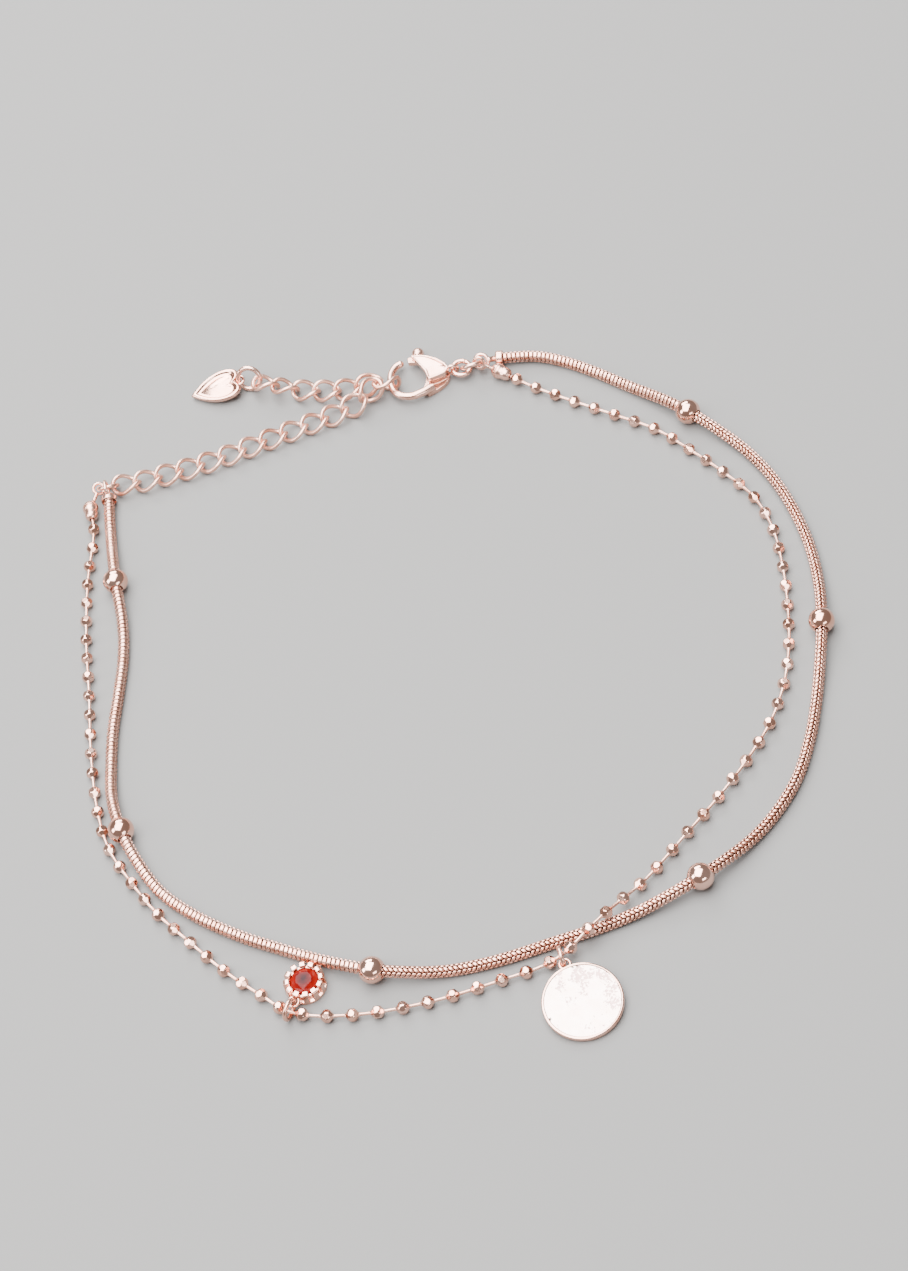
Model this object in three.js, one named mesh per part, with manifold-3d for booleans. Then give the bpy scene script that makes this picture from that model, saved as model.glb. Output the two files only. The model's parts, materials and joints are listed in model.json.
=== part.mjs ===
// Charm anklet lying in a closed loop: two strands, a smooth snake chain with six stopper beads
// and a diamond-cut ball chain, both held at each end by small findings. A round disc and a
// claw-set stone hang from the ball chain. A lobster clasp holds the last link of an extender
// chain, whose loose tail ends in a dished heart tag. Millimetres, +Z up, floor at z = 0.
import * as THREE from 'three';
import { mergeVertices } from 'three/addons/utils/BufferGeometryUtils.js';
import Module from 'manifold-3d';

const wasm = await Module();
wasm.setup();
const DEGREE = Math.PI / 180;

// Snake chain and its stopper beads
const SNAKE_RADIUS = 0.65;
const SNAKE_SIDES = 8;
const SNAKE_STEPS = 66;
const FLOOR_GAP = 0.01;
const STOPPER_RADIUS = 1.4;
const STOPPER_CLEARANCE = 0.19;
const STOPPER_SIDES = 12;
const STOPPER_ROWS = 5;
const STOPPER_LIFT_REACH = 10;

// How finely centre lines are measured and sampled
const ROUTE_SAMPLES = 260;
const ROUTE_DIVISIONS = 1200;
const LINE_DIVISIONS = 2600;

// Ball chain
const BALL_RADIUS = 0.67;
const BALL_COUNT = 79;
const BALL_SIDES = 10;
const BALL_BELT_ANGLE = 27 * DEGREE;
const BAR_RADIUS = 0.165;
const END_BAR_RIGHT = 1.52;
const END_BAR_LEFT = 2;
const CROSSING_REACH = 8;
const CROSSING_GAP = 0.06;

// Extender chain
const LINK_WIRE = 0.48;
const LINK_PLAY = 0.13;
const LINK_HALF_WIDTH = 1.235;
const LINK_TWIST = Math.PI / 4;
const LINK_SEGMENTS = 12;
const LINK_SIDES = 5;

// Round rings: wire sections and segments
const RING_SIDES = 5;
const RING_SEGMENTS = 12;
const SMALL_RING_SEGMENTS = 14;
const TURNED_SIDES = 10;
const ROD_SIDES = 8;

// Snake chain end caps
const CAP_RADIUS = 0.88;
const CAP_LENGTH = 0.85;
const CAP_BORE_CLEARANCE = 0.11;
const CAP_BORE_DEPTH = 0.55;
const CAP_SHOULDER_DEPTH = 0.2;
const CAP_SHOULDER_INSET = 0.25;
const CAP_NECK_RADIUS = 0.34;
const CAP_NECK_SINK = 0.05;
const CHAIN_END_GAP = 0.12;
const CAP_LOOP_RADIUS = 0.8;
const CAP_LOOP_WIRE = 0.42;
const CAP_HEIGHT = 0.9;
const CAP_LOOP_RIGHT = { place: [13.8, 41.71, 1.22], facing: [-109, 51] };
const CAP_LOOP_LEFT = { place: [-31.16, 37.9, 1.65], facing: [-2, 2] };

// Bead tips that hold the ends of the ball chain
const TIP_RADIUS = 0.9;
const TIP_SHELL_RADIUS = 0.74;
const TIP_SHELL_OFFSET = 1.0;
const TIP_MOUTH = 1.62;
const TIP_SHOULDER = 0.75;
const TIP_SHOULDER_DEPTH = 0.16;
const TIP_LIP_WALL = 0.1;
const TIP_BORE_RADIUS = 0.27;
const TIP_BORE_DEPTH = 0.8;
const TIP_LOOP_RADIUS = 0.62;
const TIP_LOOP_WIRE = 0.36;
const TIP_STRAP_WIDTH = 0.42;
const TIP_STRAP_SIDES = 6;
const TIP_HEIGHT = 0.93;
const TIP_END_GAP = 0.2;
const TIP_LOOP_RIGHT = { place: [13.49, 41.11, 1.81], facing: [63, -25] };
const TIP_LOOP_LEFT = { place: [-32.1, 38.67, 1.06], facing: [114, -61] };
const SEAM_WIDTH = 0.1;
const SEAM_DEPTH = 0.1;
const SEAM_LATITUDE = 4;
const TIP_ROWS = [-90, -60, -30, -SEAM_LATITUDE, SEAM_LATITUDE, 22, 40];

// Disc charm
const DISC_RADIUS = 4.1;
const DISC_THICKNESS = 0.7;
const DISC_CHAMFER = 0.14;
const DISC_LIP = 0.3;
const DISC_DISH = 0.06;
const DISC_SWING = -5.5 * DEGREE;
const DISC_RING_SWING = 14 * DEGREE;
const DISC_RING_OFFSET = 0.16;
const DISC_LUG_SHARE = 0.36;
const DISC_SIDES = 36;
const CHARM_RING_WIRE = 0.48;
const DISC_RING_RADIUS = 0.92;
const LUG_HOLE = 0.38;
const LUG_WIRE = 0.3;

// Claw-set stone
const STONE_RADIUS = 1.5;
const STONE_TABLE_RADIUS = 0.86;
const STONE_GIRDLE_LOW = 1.05;
const STONE_GIRDLE_HIGH = 1.13;
const STONE_TABLE_HEIGHT = 1.5;
const STONE_CULET_HEIGHT = 0.3;
const STONE_SIDES = 16;
const CLAW_COUNT = 12;
const CLAW_WIDTH = 0.56;
const CLAW_OUTER = 2.12;
const CLAW_INNER = 1.58;
const CLAW_TIP = 1.43;
const CLAW_TOP = 1.56;
const CLAW_ROOT_HEIGHT = 0.15;
const CLAW_ROOT_DEPTH = 0.15;
const CLAW_SHOULDER = 0.21;
const CLAW_BACK_BEVEL = 0.15;
const CLAW_TIP_BEVEL = [0.1, 0.12];
const CLAW_TIP_DEPTH = 0.27;
const CLAW_THROAT_DEPTH = 0.36;
const COLLET_BASE_RADIUS = 2.15;
const COLLET_BASE_HEIGHT = 0.3;
const COLLET_WALL = 1.8;
const COLLET_SEAT = 0.96;
const COLLET_STEP = 0.08;
const COLLET_LEDGE = 1.46;
const COLLET_LEDGE_SINK = 0.2;
const COLLET_BORE = 1.05;
const COLLET_FUNNEL_HEIGHT = 0.45;
const GEM_RING_RADIUS = 1.0;
const GEM_LUG_HEIGHT = 1.12;
const CHARM_BAR_HEIGHT = 0.79;
const CHARM_LIFT_REACH = 4;

// Lobster clasp, in its own frame: the origin is the middle of the hook's opening and +X runs
// to the end eye. Its tables hold shares of CLASP_LENGTH, from that middle to the eye's middle,
// and a third number in a row is a share of the clasp's half height.
const CLASP_EYE_AT = [10.342, 41.781];
const CLASP_TURN = -7 * DEGREE;
const CLASP_LENGTH = 5.08;
const PLATE_THICKNESS = 0.6;
const CHANNEL_HEIGHT = 0.74;
const LEVER_THICKNESS = 0.6;
const HOOK_WIRE = 0.84;
const HOOK_STEPS = 18;
const PIVOT = [0.61, 0.148];
const PIVOT_RADIUS = 0.26;
const PIVOT_CLEARANCE = 0.06;
const HUB_RADIUS = 0.62;
const KNOB = [0.266, 0.738];
const KNOB_RADIUS = 0.7;
const KNOB_FLATNESS = 0.84;
const KNOB_RISE = 0.02;
const KNOB_NECK_START = [0.236, 0.492];
const KNOB_NECK_RADIUS = 0.29;
const KNOB_NECK_DROP = 0.12;
const FACE_MIDDLE = [0.571, 0.108];
const FACE_RIM = 0.3;
const FACE_DEPTH = 0.34;
const VALLEY_REACH = 0.512;
const WALL_OVERLAP = 0.1;
const EYE_SIDE_SHIFT = 0.1;
const EYE_RADIUS = 0.64;
const EYE_WIRE = 0.4;
const SHIELD_OUTLINE = [
  [0.118, 0.492], [0.266, 0.236], [0.384, 0], [0.463, -0.285], [0.689, -0.226],
  [0.846, -0.167], [0.935, -0.039], [0.866, 0.108], [0.689, 0.295], [0.472, 0.423], [0.295, 0.482],
];
const LOWER_OUTLINE = [
  [0.36, 0.31], [0.4, 0.06], [0.36, -0.177], [0.25, -0.374], [0.394, -0.502],
  [0.61, -0.413], [0.768, -0.315], [0.886, -0.187], [0.935, -0.039], [0.866, 0.108],
  [0.689, 0.295], [0.472, 0.423],
];
const WALL_OUTLINE = [
  [0.453, -0.256], [0.689, -0.207], [0.837, -0.148], [0.906, -0.039], [0.846, 0.089],
  [0.778, 0.059], [0.768, -0.039], [0.65, -0.108], [0.433, -0.118],
];
const HOOK_ROUTE = [
  [0.531, -0.344, 0.88], [0.276, -0.482, 0.98], [0.02, -0.541, 1], [-0.217, -0.472, 1],
  [-0.364, -0.295, 1], [-0.413, -0.039, 1], [-0.384, 0.197, 1], [-0.266, 0.394, 1],
  [-0.079, 0.492, 1],
];
const LEVER_OUTLINE = [
  [0.03, 0.413], [0.217, 0.384], [0.413, 0.236], [0.512, 0.059], [0.669, 0.059], [0.719, 0.177],
  [0.61, 0.315], [0.433, 0.413], [0.236, 0.541], [0.059, 0.567], [0.024, 0.541],
];

// Connecting rings
const CLASP_RING = {
  radius: 1.0, wire: 0.56, place: [11.42, 41.78, 0.94], facing: [-76, 85] };
const JUNCTION_RIGHT = {
  radius: 1.15, wire: 0.54, place: [12.66, 41.58, 1.17], facing: [94, 41] };
const JUNCTION_LEFT = {
  radius: 1.1, wire: 0.5, place: [-31.0, 38.52, 1.1], facing: [85, 41] };
const TAG_RING = {
  radius: 1.32, wire: 0.56, place: [-12.49, 48.47, 1.51], facing: [-109, 24] };

// Heart tag at the end of the extender
const TAG_PLACE = [-16.19, 48.91, 0.94];
const TAG_TURN = -3 * DEGREE;
const TAG_ROLL = 5 * DEGREE;
const TAG_PITCH = -8.6 * DEGREE;
const TAG_HALF_WIDTH = 2.1;
const TAG_LENGTH = 6.2;
const TAG_THICKNESS = 0.6;
const TAG_BEVEL = 0.14;
const TAG_DISH = 0.26;
const TAG_FACE_SHARE = 0.76;
const TAG_PUFF_HALF_LENGTH = 1.75;
const TAG_PUFF_HALF_WIDTH = 1.1;
const TAG_PUFF_HALF_HEIGHT = 0.42;
const TAG_PUFF_SINK = 0.1;
const TAG_PUFF_PLACE = -0.1;
const TAG_EYE = 2.5;
const TAG_EYE_RADIUS = 0.58;
const TAG_EYE_WIRE = 0.32;

// Where the snake chain runs; a true flag marks a stopper bead
const SNAKE_ROUTE = [
  [15.87, 41.75], [20.0, 40.6], [23.0, 38.7], [26.0, 35.9], [29.0, 32.6], [32.0, 29.1],
  [34.2, 26.2, true], [36.6, 22.9], [38.9, 19.2], [40.6, 14.6], [41.5, 9.8], [41.8, 4.5],
  [41.3, -0.8], [40.1, -6.2, true], [38.4, -11.2], [36.8, -15.3], [35.0, -19.3], [32.2, -23.9],
  [28.8, -27.4], [24.8, -30.2], [19.8, -32.5, true], [15.0, -33.8], [9.5, -34.6], [3.5, -34.95],
  [-2.0, -35.2], [-7.5, -34.8], [-11.4, -33.9], [-14.4, -32.8, true], [-18.0, -30.65],
  [-22.4, -27.5], [-26.6, -24.4], [-30.8, -20.5], [-33.8, -16.6], [-35.6, -12.3],
  [-36.6, -8.2, true], [-37.0, -3.6], [-36.5, 0.8], [-35.6, 5.3], [-34.3, 9.8], [-33.1, 14.3],
  [-32.4, 18.8], [-32.2, 24.6, true], [-32.0, 29.0], [-31.7, 33.0], [-31.2, 36.9],
];

// Where the ball chain runs, from the right bead tip to the left one
const BALL_ROUTE = [
  [16.1, 39.1], [17.4, 37.7], [21.0, 34.1], [26.6, 29.0], [30.3, 25.5], [33.1, 21.4],
  [35.8, 17.0], [38.0, 12.5], [38.7, 7.6], [38.3, 2.5], [37.4, -2.5], [36.1, -7.5],
  [34.2, -12.2], [31.6, -16.3], [28.2, -19.9], [24.3, -23.3], [20.1, -26.5], [16.0, -29.6],
  [12.1, -32.3], [7.8, -35.1], [4.2, -36.9], [-2.1, -37.5], [-9.6, -37.7], [-17.3, -36.8],
  [-23.2, -34.7], [-25.8, -31.8], [-29.0, -27.8], [-31.8, -23.5], [-34.6, -19.0],
  [-36.7, -14.3], [-38.3, -9.7], [-38.8, -4.7], [-38.4, 3.0], [-37.5, 10.4], [-36.7, 18.1],
  [-35.4, 25.9], [-33.6, 33.1], [-33.5, 35.2],
];
const CROSSING = [8.4, -34.7];
const DISC_HANG = [4.1, -37];
const GEM_HANG = [-23.6, -34.4];

// Extender links: the even run from the left end. Its links share the route's length evenly, and
// the first loose link lies where the route ends.
const EXTENDER_RUN = [
  [-28.94, 38.36, 0.93], [-26.44, 38.1, 0.9], [-23.94, 38.1, 0.95], [-21.45, 38.19, 0.86],
  [-16.9, 38.6, 0.76], [-12.1, 39.25, 0.76], [-7.1, 39.85, 0.76], [-3.9, 40.2, 0.8],
];
const RUN_LINKS = 10;
const LINK_CHORD = 0.8;
const RUN_ROLLS = { 1: -3, 2: 3, 3: 6, 4: 4 };

// Extender links that lie about the clasp's hook, and then the loose tail: where the middle
// is, where the length points and how far the link is rolled, in degrees
const LOOSE_LINKS = [
  { place: [-3.95, 40.21, 0.84], aim: [9, 4], roll: 7 },
  { place: [-1.52, 40.51, 1.19], aim: [9, 15], roll: 24 },
  { place: [0.66, 41.48, 1.72], aim: [28, 16], roll: 56 },
  { place: [2.69, 42.0, 1.5], aim: [8, -21], roll: -57 },
  { place: [0.68, 42.98, 1.09], aim: [172, -12], roll: -20 },
  { place: [-1.77, 43.42, 0.82], aim: [170, -3], roll: -8 },
  { place: [-4.18, 44.04, 0.81], aim: [158, -1], roll: -4 },
  { place: [-6.49, 44.93, 0.84], aim: [158, 1], roll: 1 },
  { place: [-8.68, 46.06, 1.12], aim: [151, 4], roll: 28 },
  { place: [-10.79, 47.34, 1.17], aim: [149, -2], roll: 27 },
];

const bodyHeight = 2 * PLATE_THICKNESS + CHANNEL_HEIGHT;
const midHeight = bodyHeight / 2;

// A direction from its turn about +Z and its rise above the floor, in degrees
function pointing([turn, rise]) {
  const level = Math.cos(rise * DEGREE);
  return new THREE.Vector3(level * Math.cos(turn * DEGREE), level * Math.sin(turn * DEGREE),
    Math.sin(rise * DEGREE));
}

function metal(color, roughness) {
  return new THREE.MeshStandardMaterial({ color, roughness, metalness: 1 });
}

function vec(list) {
  return new THREE.Vector3(list[0], list[1], list[2] ?? 0);
}

// A geometry with shared corners, no empty triangles and its faces pointing out
function closed(geometry) {
  const bare = geometry.clone();
  bare.deleteAttribute('normal');
  bare.deleteAttribute('uv');
  const merged = mergeVertices(bare, 1e-4);
  const place = merged.getAttribute('position');
  const index = merged.getIndex().array;
  const kept = [];
  let volume = 0;
  const a = new THREE.Vector3();
  const b = new THREE.Vector3();
  const c = new THREE.Vector3();
  for (let i = 0; i < index.length; i += 3) {
    const [p, q, r] = [index[i], index[i + 1], index[i + 2]];
    if (p === q || q === r || r === p) continue;
    kept.push(p, q, r);
    a.fromBufferAttribute(place, p);
    b.fromBufferAttribute(place, q);
    c.fromBufferAttribute(place, r);
    volume += a.dot(b.cross(c));
  }
  if (volume < 0) {
    for (let i = 0; i < kept.length; i += 3) [kept[i], kept[i + 1]] = [kept[i + 1], kept[i]];
  }
  merged.setIndex(kept);
  return merged;
}

// The same shape as a solid for joining and cutting
function solid(geometry, matrix = new THREE.Matrix4()) {
  const shape = closed(geometry.clone().applyMatrix4(matrix));
  return new wasm.Manifold(new wasm.Mesh({
    numProp: 3,
    vertProperties: Float32Array.from(shape.getAttribute('position').array),
    triVerts: Uint32Array.from(shape.getIndex().array),
  }));
}

function geometryOf(manifold) {
  const mesh = manifold.getMesh();
  const geometry = new THREE.BufferGeometry();
  geometry.setAttribute('position', new THREE.BufferAttribute(mesh.vertProperties, 3));
  geometry.setIndex(new THREE.BufferAttribute(mesh.triVerts, 1));
  return geometry;
}

function named(name, geometry, material) {
  const flat = closed(geometry).toNonIndexed();
  flat.computeVertexNormals();
  const mesh = new THREE.Mesh(flat, material);
  mesh.name = name;
  return mesh;
}

// Moves a shape's +Y axis onto a direction, with its origin at a place
function aimed(place, direction) {
  const turn = new THREE.Quaternion().setFromUnitVectors(
    new THREE.Vector3(0, 1, 0), direction.clone().normalize());
  return new THREE.Matrix4().compose(place, turn, new THREE.Vector3(1, 1, 1));
}

// Moves a flat ring's normal from +Z onto a direction
function faced(place, normal) {
  const turn = new THREE.Quaternion().setFromUnitVectors(
    new THREE.Vector3(0, 0, 1), normal.clone().normalize());
  return new THREE.Matrix4().compose(place, turn, new THREE.Vector3(1, 1, 1));
}

function ring(radius, wire, segments = RING_SEGMENTS) {
  return new THREE.TorusGeometry(radius, wire / 2, RING_SIDES, segments);
}

function rod(from, to, radius, sides = ROD_SIDES) {
  const run = to.clone().sub(from);
  const shape = new THREE.CylinderGeometry(radius, radius, run.length(), sides);
  return solid(shape, aimed(from.clone().add(to).multiplyScalar(0.5), run));
}

function turned(profile, sides) {
  return new THREE.LatheGeometry(profile.map(([r, h]) => new THREE.Vector2(r, h)), sides);
}

function outline(points) {
  return new THREE.Shape(points.map(([x, y]) => new THREE.Vector2(x, y)));
}

function plate(shape, bottom, thickness, curveSegments = 6) {
  const body = new THREE.ExtrudeGeometry(shape, {
    depth: thickness, bevelEnabled: false, curveSegments });
  return body.translate(0, 0, bottom);
}

// A strand's centre line: a plan route, raised smoothly where it passes over something
function strand(route, rest, lifts) {
  const plan = new THREE.CatmullRomCurve3(route.map(([x, y]) => new THREE.Vector3(x, y, 0)));
  plan.arcLengthDivisions = ROUTE_DIVISIONS;
  const points = plan.getSpacedPoints(ROUTE_SAMPLES).map((p) => {
    let height = rest;
    for (const lift of lifts) {
      const away = Math.hypot(p.x - lift.at[0], p.y - lift.at[1]);
      if (away < lift.reach) {
        const share = Math.cos(Math.PI / 2 * away / lift.reach) ** 2;
        height = Math.max(height, rest + (lift.height - rest) * share);
      }
    }
    return new THREE.Vector3(p.x, p.y, height);
  });
  const line = new THREE.CatmullRomCurve3(points);
  line.arcLengthDivisions = LINE_DIVISIONS;
  return line;
}

const anklet = new THREE.Group();
const roseGold = 0xd59c85;
const paleGold = 0xdfae98;

// Snake chain, a plain tube, and the beads threaded on it
const snakeEnds = [SNAKE_ROUTE[0], SNAKE_ROUTE[SNAKE_ROUTE.length - 1]];
const snakeLine = strand(SNAKE_ROUTE, SNAKE_RADIUS + FLOOR_GAP, [
  ...SNAKE_ROUTE.filter((p) => p[2]).map((at) => (
    { at, height: STOPPER_RADIUS + FLOOR_GAP, reach: STOPPER_LIFT_REACH })),
  ...snakeEnds.map((at) => ({ at, height: CAP_HEIGHT, reach: STOPPER_LIFT_REACH })),
]);
const snakeSection = new THREE.Shape();
for (let i = 0; i < SNAKE_SIDES; i += 1) {
  const angle = 2 * Math.PI * (i + 0.5) / SNAKE_SIDES;
  const corner = [SNAKE_RADIUS * Math.cos(angle), SNAKE_RADIUS * Math.sin(angle)];
  if (i === 0) snakeSection.moveTo(...corner);
  else snakeSection.lineTo(...corner);
}
anklet.add(named('snake_chain', new THREE.ExtrudeGeometry(snakeSection, {
  steps: SNAKE_STEPS, extrudePath: snakeLine, bevelEnabled: false }), metal(roseGold, 0.3)));

function nearest(line, at) {
  let best = 0;
  let bestAway = Infinity;
  for (let i = 0; i <= LINE_DIVISIONS; i += 1) {
    const p = line.getPoint(i / LINE_DIVISIONS);
    const away = Math.hypot(p.x - at[0], p.y - at[1]);
    if (away < bestAway) [best, bestAway] = [i / LINE_DIVISIONS, away];
  }
  return best;
}

function stopperBead() {
  const bore = SNAKE_RADIUS + STOPPER_CLEARANCE;
  const half = Math.sqrt(STOPPER_RADIUS ** 2 - bore ** 2);
  const open = Math.asin(bore / STOPPER_RADIUS);
  const profile = [[bore, -half]];
  for (let i = 1; i < STOPPER_ROWS; i += 1) {
    const angle = open + (Math.PI - 2 * open) * i / STOPPER_ROWS;
    profile.push([STOPPER_RADIUS * Math.sin(angle), -STOPPER_RADIUS * Math.cos(angle)]);
  }
  profile.push([bore, half], [bore, -half]);
  return turned(profile, STOPPER_SIDES);
}

SNAKE_ROUTE.filter((p) => p[2]).forEach((at, i) => {
  const share = nearest(snakeLine, at);
  const shape = stopperBead().applyMatrix4(
    aimed(snakeLine.getPoint(share), snakeLine.getTangent(share)));
  anklet.add(named(`stopper_bead_${i + 1}`, shape, metal(paleGold, 0.12)));
});

// Ball chain: one turned string of balls and bars, bent along its route
const crossingHeight = 2 * (SNAKE_RADIUS + FLOOR_GAP) + CROSSING_GAP + BALL_RADIUS;
const ballLine = strand(BALL_ROUTE, BALL_RADIUS, [
  { at: CROSSING, height: crossingHeight, reach: CROSSING_REACH },
  { at: DISC_HANG, height: CHARM_BAR_HEIGHT, reach: CHARM_LIFT_REACH },
  { at: GEM_HANG, height: CHARM_BAR_HEIGHT, reach: CHARM_LIFT_REACH },
  { at: BALL_ROUTE[0], height: TIP_HEIGHT, reach: CHARM_LIFT_REACH },
  { at: BALL_ROUTE[BALL_ROUTE.length - 1], height: TIP_HEIGHT, reach: CHARM_LIFT_REACH },
]);
const ballLength = ballLine.getLength();
const ballPitch = (ballLength - END_BAR_RIGHT - END_BAR_LEFT) / (BALL_COUNT - 1);

function ballString() {
  const shoulder = Math.sqrt(BALL_RADIUS ** 2 - BAR_RADIUS ** 2);
  const belt = BALL_RADIUS * Math.cos(BALL_BELT_ANGLE);
  const half = BALL_RADIUS * Math.sin(BALL_BELT_ANGLE);
  const profile = [[0, 0], [BAR_RADIUS, 0]];
  for (let i = 0; i < BALL_COUNT; i += 1) {
    const middle = END_BAR_RIGHT + i * ballPitch;
    profile.push([BAR_RADIUS, middle - shoulder], [belt, middle - half]);
    profile.push([belt, middle + half], [BAR_RADIUS, middle + shoulder]);
  }
  profile.push([BAR_RADIUS, ballLength], [0, ballLength]);
  return turned(profile, BALL_SIDES);
}

function bent(geometry, line) {
  const place = geometry.getAttribute('position');
  const length = line.getLength();
  const up = new THREE.Vector3(0, 0, 1);
  for (let i = 0; i < place.count; i += 1) {
    const share = THREE.MathUtils.clamp(place.getY(i) / length, 0, 1);
    const along = line.getTangentAt(share);
    const side = along.clone().cross(up).normalize();
    const over = side.clone().cross(along);
    const p = line.getPointAt(share);
    p.addScaledVector(side, place.getX(i)).addScaledVector(over, place.getZ(i));
    place.setXYZ(i, p.x, p.y, p.z);
  }
  return geometry;
}
anklet.add(named('ball_chain', bent(ballString(), ballLine), metal(paleGold, 0.14)));

// Where a charm hangs: the middle of the bar nearest a place, and the way out from the loop
function hangPoint(place) {
  const bars = [];
  for (let i = 0; i < BALL_COUNT - 1; i += 1) {
    const share = (END_BAR_RIGHT + (i + 0.5) * ballPitch) / ballLength;
    const at = ballLine.getPointAt(share);
    bars.push({ at, share, away: Math.hypot(at.x - place[0], at.y - place[1]) });
  }
  const { at, share } = bars.sort((a, b) => a.away - b.away)[0];
  const along = ballLine.getTangentAt(share).setZ(0).normalize();
  return { at, out: new THREE.Vector3(-along.y, along.x, 0), along };
}

// Disc charm: a turned disc with a fused lug. Its near edge lies on the floor and its lug leans on
// the jump ring, at the height of the ring's middle.
const discHang = hangPoint(DISC_HANG);
const discOut = discHang.out.clone().applyAxisAngle(new THREE.Vector3(0, 0, 1), DISC_SWING);
const lugReach = DISC_RADIUS + LUG_HOLE;
const discRingOut = discHang.out.clone()
  .applyAxisAngle(new THREE.Vector3(0, 0, 1), -DISC_RING_SWING);
const discRingMiddle = discHang.at.clone().addScaledVector(discRingOut, DISC_RING_OFFSET);
discRingMiddle.setZ(DISC_RING_RADIUS + CHARM_RING_WIRE / 2 + FLOOR_GAP);
const discLugHeight = DISC_THICKNESS * DISC_LUG_SHARE;
const discTilt = Math.asin((discRingMiddle.z - discLugHeight) / (DISC_RADIUS + lugReach));
const discMiddle = discRingMiddle.clone().addScaledVector(discRingOut, DISC_RING_RADIUS)
  .addScaledVector(discOut, lugReach * Math.cos(discTilt)).setZ(0);
const faceRadius = DISC_RADIUS - DISC_LIP;
const discTurned = solid(turned([
  [0, 0], [DISC_RADIUS - DISC_CHAMFER, 0], [DISC_RADIUS, DISC_CHAMFER],
  [DISC_RADIUS, DISC_THICKNESS - DISC_CHAMFER], [DISC_RADIUS - DISC_CHAMFER, DISC_THICKNESS],
  [faceRadius + DISC_DISH, DISC_THICKNESS], [faceRadius, DISC_THICKNESS - DISC_DISH],
  [0, DISC_THICKNESS - DISC_DISH],
], DISC_SIDES), new THREE.Matrix4().makeRotationX(Math.PI / 2));
const discLug = solid(ring(LUG_HOLE + LUG_WIRE / 2, LUG_WIRE, SMALL_RING_SEGMENTS),
  new THREE.Matrix4().makeTranslation(lugReach, 0, discLugHeight));
const discShape = geometryOf(discTurned.add(discLug));
discShape.applyMatrix4(new THREE.Matrix4().makeTranslation(DISC_RADIUS, 0, 0));
discShape.applyMatrix4(new THREE.Matrix4().makeRotationY(-discTilt));
discShape.applyMatrix4(
  new THREE.Matrix4().makeTranslation(-DISC_RADIUS * Math.cos(discTilt), 0, 0));
const disc = named('disc_charm', discShape, metal(0xe8c4b2, 0.32));
disc.position.copy(discMiddle);
disc.rotation.z = Math.atan2(-discOut.y, -discOut.x);
anklet.add(disc);

function uprightRing(name, middle, facing, radius, wire) {
  const shape = ring(radius, wire).applyMatrix4(faced(middle, facing));
  anklet.add(named(name, shape, metal(paleGold, 0.14)));
}
const discRingFacing = discHang.along.clone()
  .applyAxisAngle(new THREE.Vector3(0, 0, 1), -DISC_RING_SWING);
uprightRing('disc_jump_ring', discRingMiddle, discRingFacing, DISC_RING_RADIUS, CHARM_RING_WIRE);

// Claw-set stone: a collet with twelve claws, its lug and the stone
const gemHang = hangPoint(GEM_HANG);
const gemIn = gemHang.out.clone().negate();
const gemLugReach = COLLET_BASE_RADIUS + LUG_HOLE;
const gemAway = gemLugReach + GEM_RING_RADIUS;
const gemMiddle = gemHang.at.clone().addScaledVector(gemIn, gemAway).setZ(FLOOR_GAP);
const upright = new THREE.Matrix4().makeRotationX(Math.PI / 2);
let setting = solid(turned([
  [COLLET_BORE, 0], [COLLET_BASE_RADIUS, 0], [COLLET_BASE_RADIUS, COLLET_BASE_HEIGHT],
  [COLLET_WALL, COLLET_BASE_HEIGHT + COLLET_STEP], [COLLET_WALL, COLLET_SEAT],
  [COLLET_LEDGE, COLLET_SEAT], [COLLET_BORE, COLLET_FUNNEL_HEIGHT], [COLLET_BORE, 0],
], 2 * CLAW_COUNT), upright);
const [tipBevelWidth, tipBevelHeight] = CLAW_TIP_BEVEL;
const clawSide = outline([
  [COLLET_WALL - CLAW_ROOT_DEPTH, CLAW_ROOT_HEIGHT], [CLAW_OUTER, CLAW_ROOT_HEIGHT],
  [CLAW_OUTER, CLAW_TOP - CLAW_SHOULDER], [CLAW_OUTER - CLAW_BACK_BEVEL, CLAW_TOP],
  [CLAW_TIP + tipBevelWidth, CLAW_TOP], [CLAW_TIP, CLAW_TOP - tipBevelHeight],
  [CLAW_TIP, CLAW_TOP - CLAW_TIP_DEPTH], [CLAW_INNER, CLAW_TOP - CLAW_THROAT_DEPTH],
  [CLAW_INNER, COLLET_SEAT - COLLET_LEDGE_SINK],
]);
const claw = plate(clawSide, -CLAW_WIDTH / 2, CLAW_WIDTH).rotateX(Math.PI / 2);
for (let i = 0; i < CLAW_COUNT; i += 1) {
  const turn = new THREE.Matrix4().makeRotationZ(2 * Math.PI * i / CLAW_COUNT);
  setting = setting.add(solid(claw, turn));
}
setting = setting.add(solid(ring(LUG_HOLE + LUG_WIRE / 2, LUG_WIRE, SMALL_RING_SEGMENTS),
  new THREE.Matrix4().makeTranslation(gemLugReach, 0, GEM_LUG_HEIGHT)));
const gemTurn = Math.atan2(-gemIn.y, -gemIn.x);
const settingMesh = named('gem_setting', geometryOf(setting), metal(paleGold, 0.16));
settingMesh.position.copy(gemMiddle);
settingMesh.rotation.z = gemTurn;
anklet.add(settingMesh);

const stoneMesh = named('gem_stone', turned([
  [0, STONE_CULET_HEIGHT], [STONE_RADIUS, STONE_GIRDLE_LOW], [STONE_RADIUS, STONE_GIRDLE_HIGH],
  [STONE_TABLE_RADIUS, STONE_TABLE_HEIGHT], [0, STONE_TABLE_HEIGHT],
], STONE_SIDES).rotateX(Math.PI / 2), new THREE.MeshStandardMaterial({
  color: 0x9c1b14, roughness: 0.05, metalness: 0 }));
stoneMesh.position.copy(gemMiddle);
stoneMesh.rotation.z = gemTurn;
anklet.add(stoneMesh);

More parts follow.
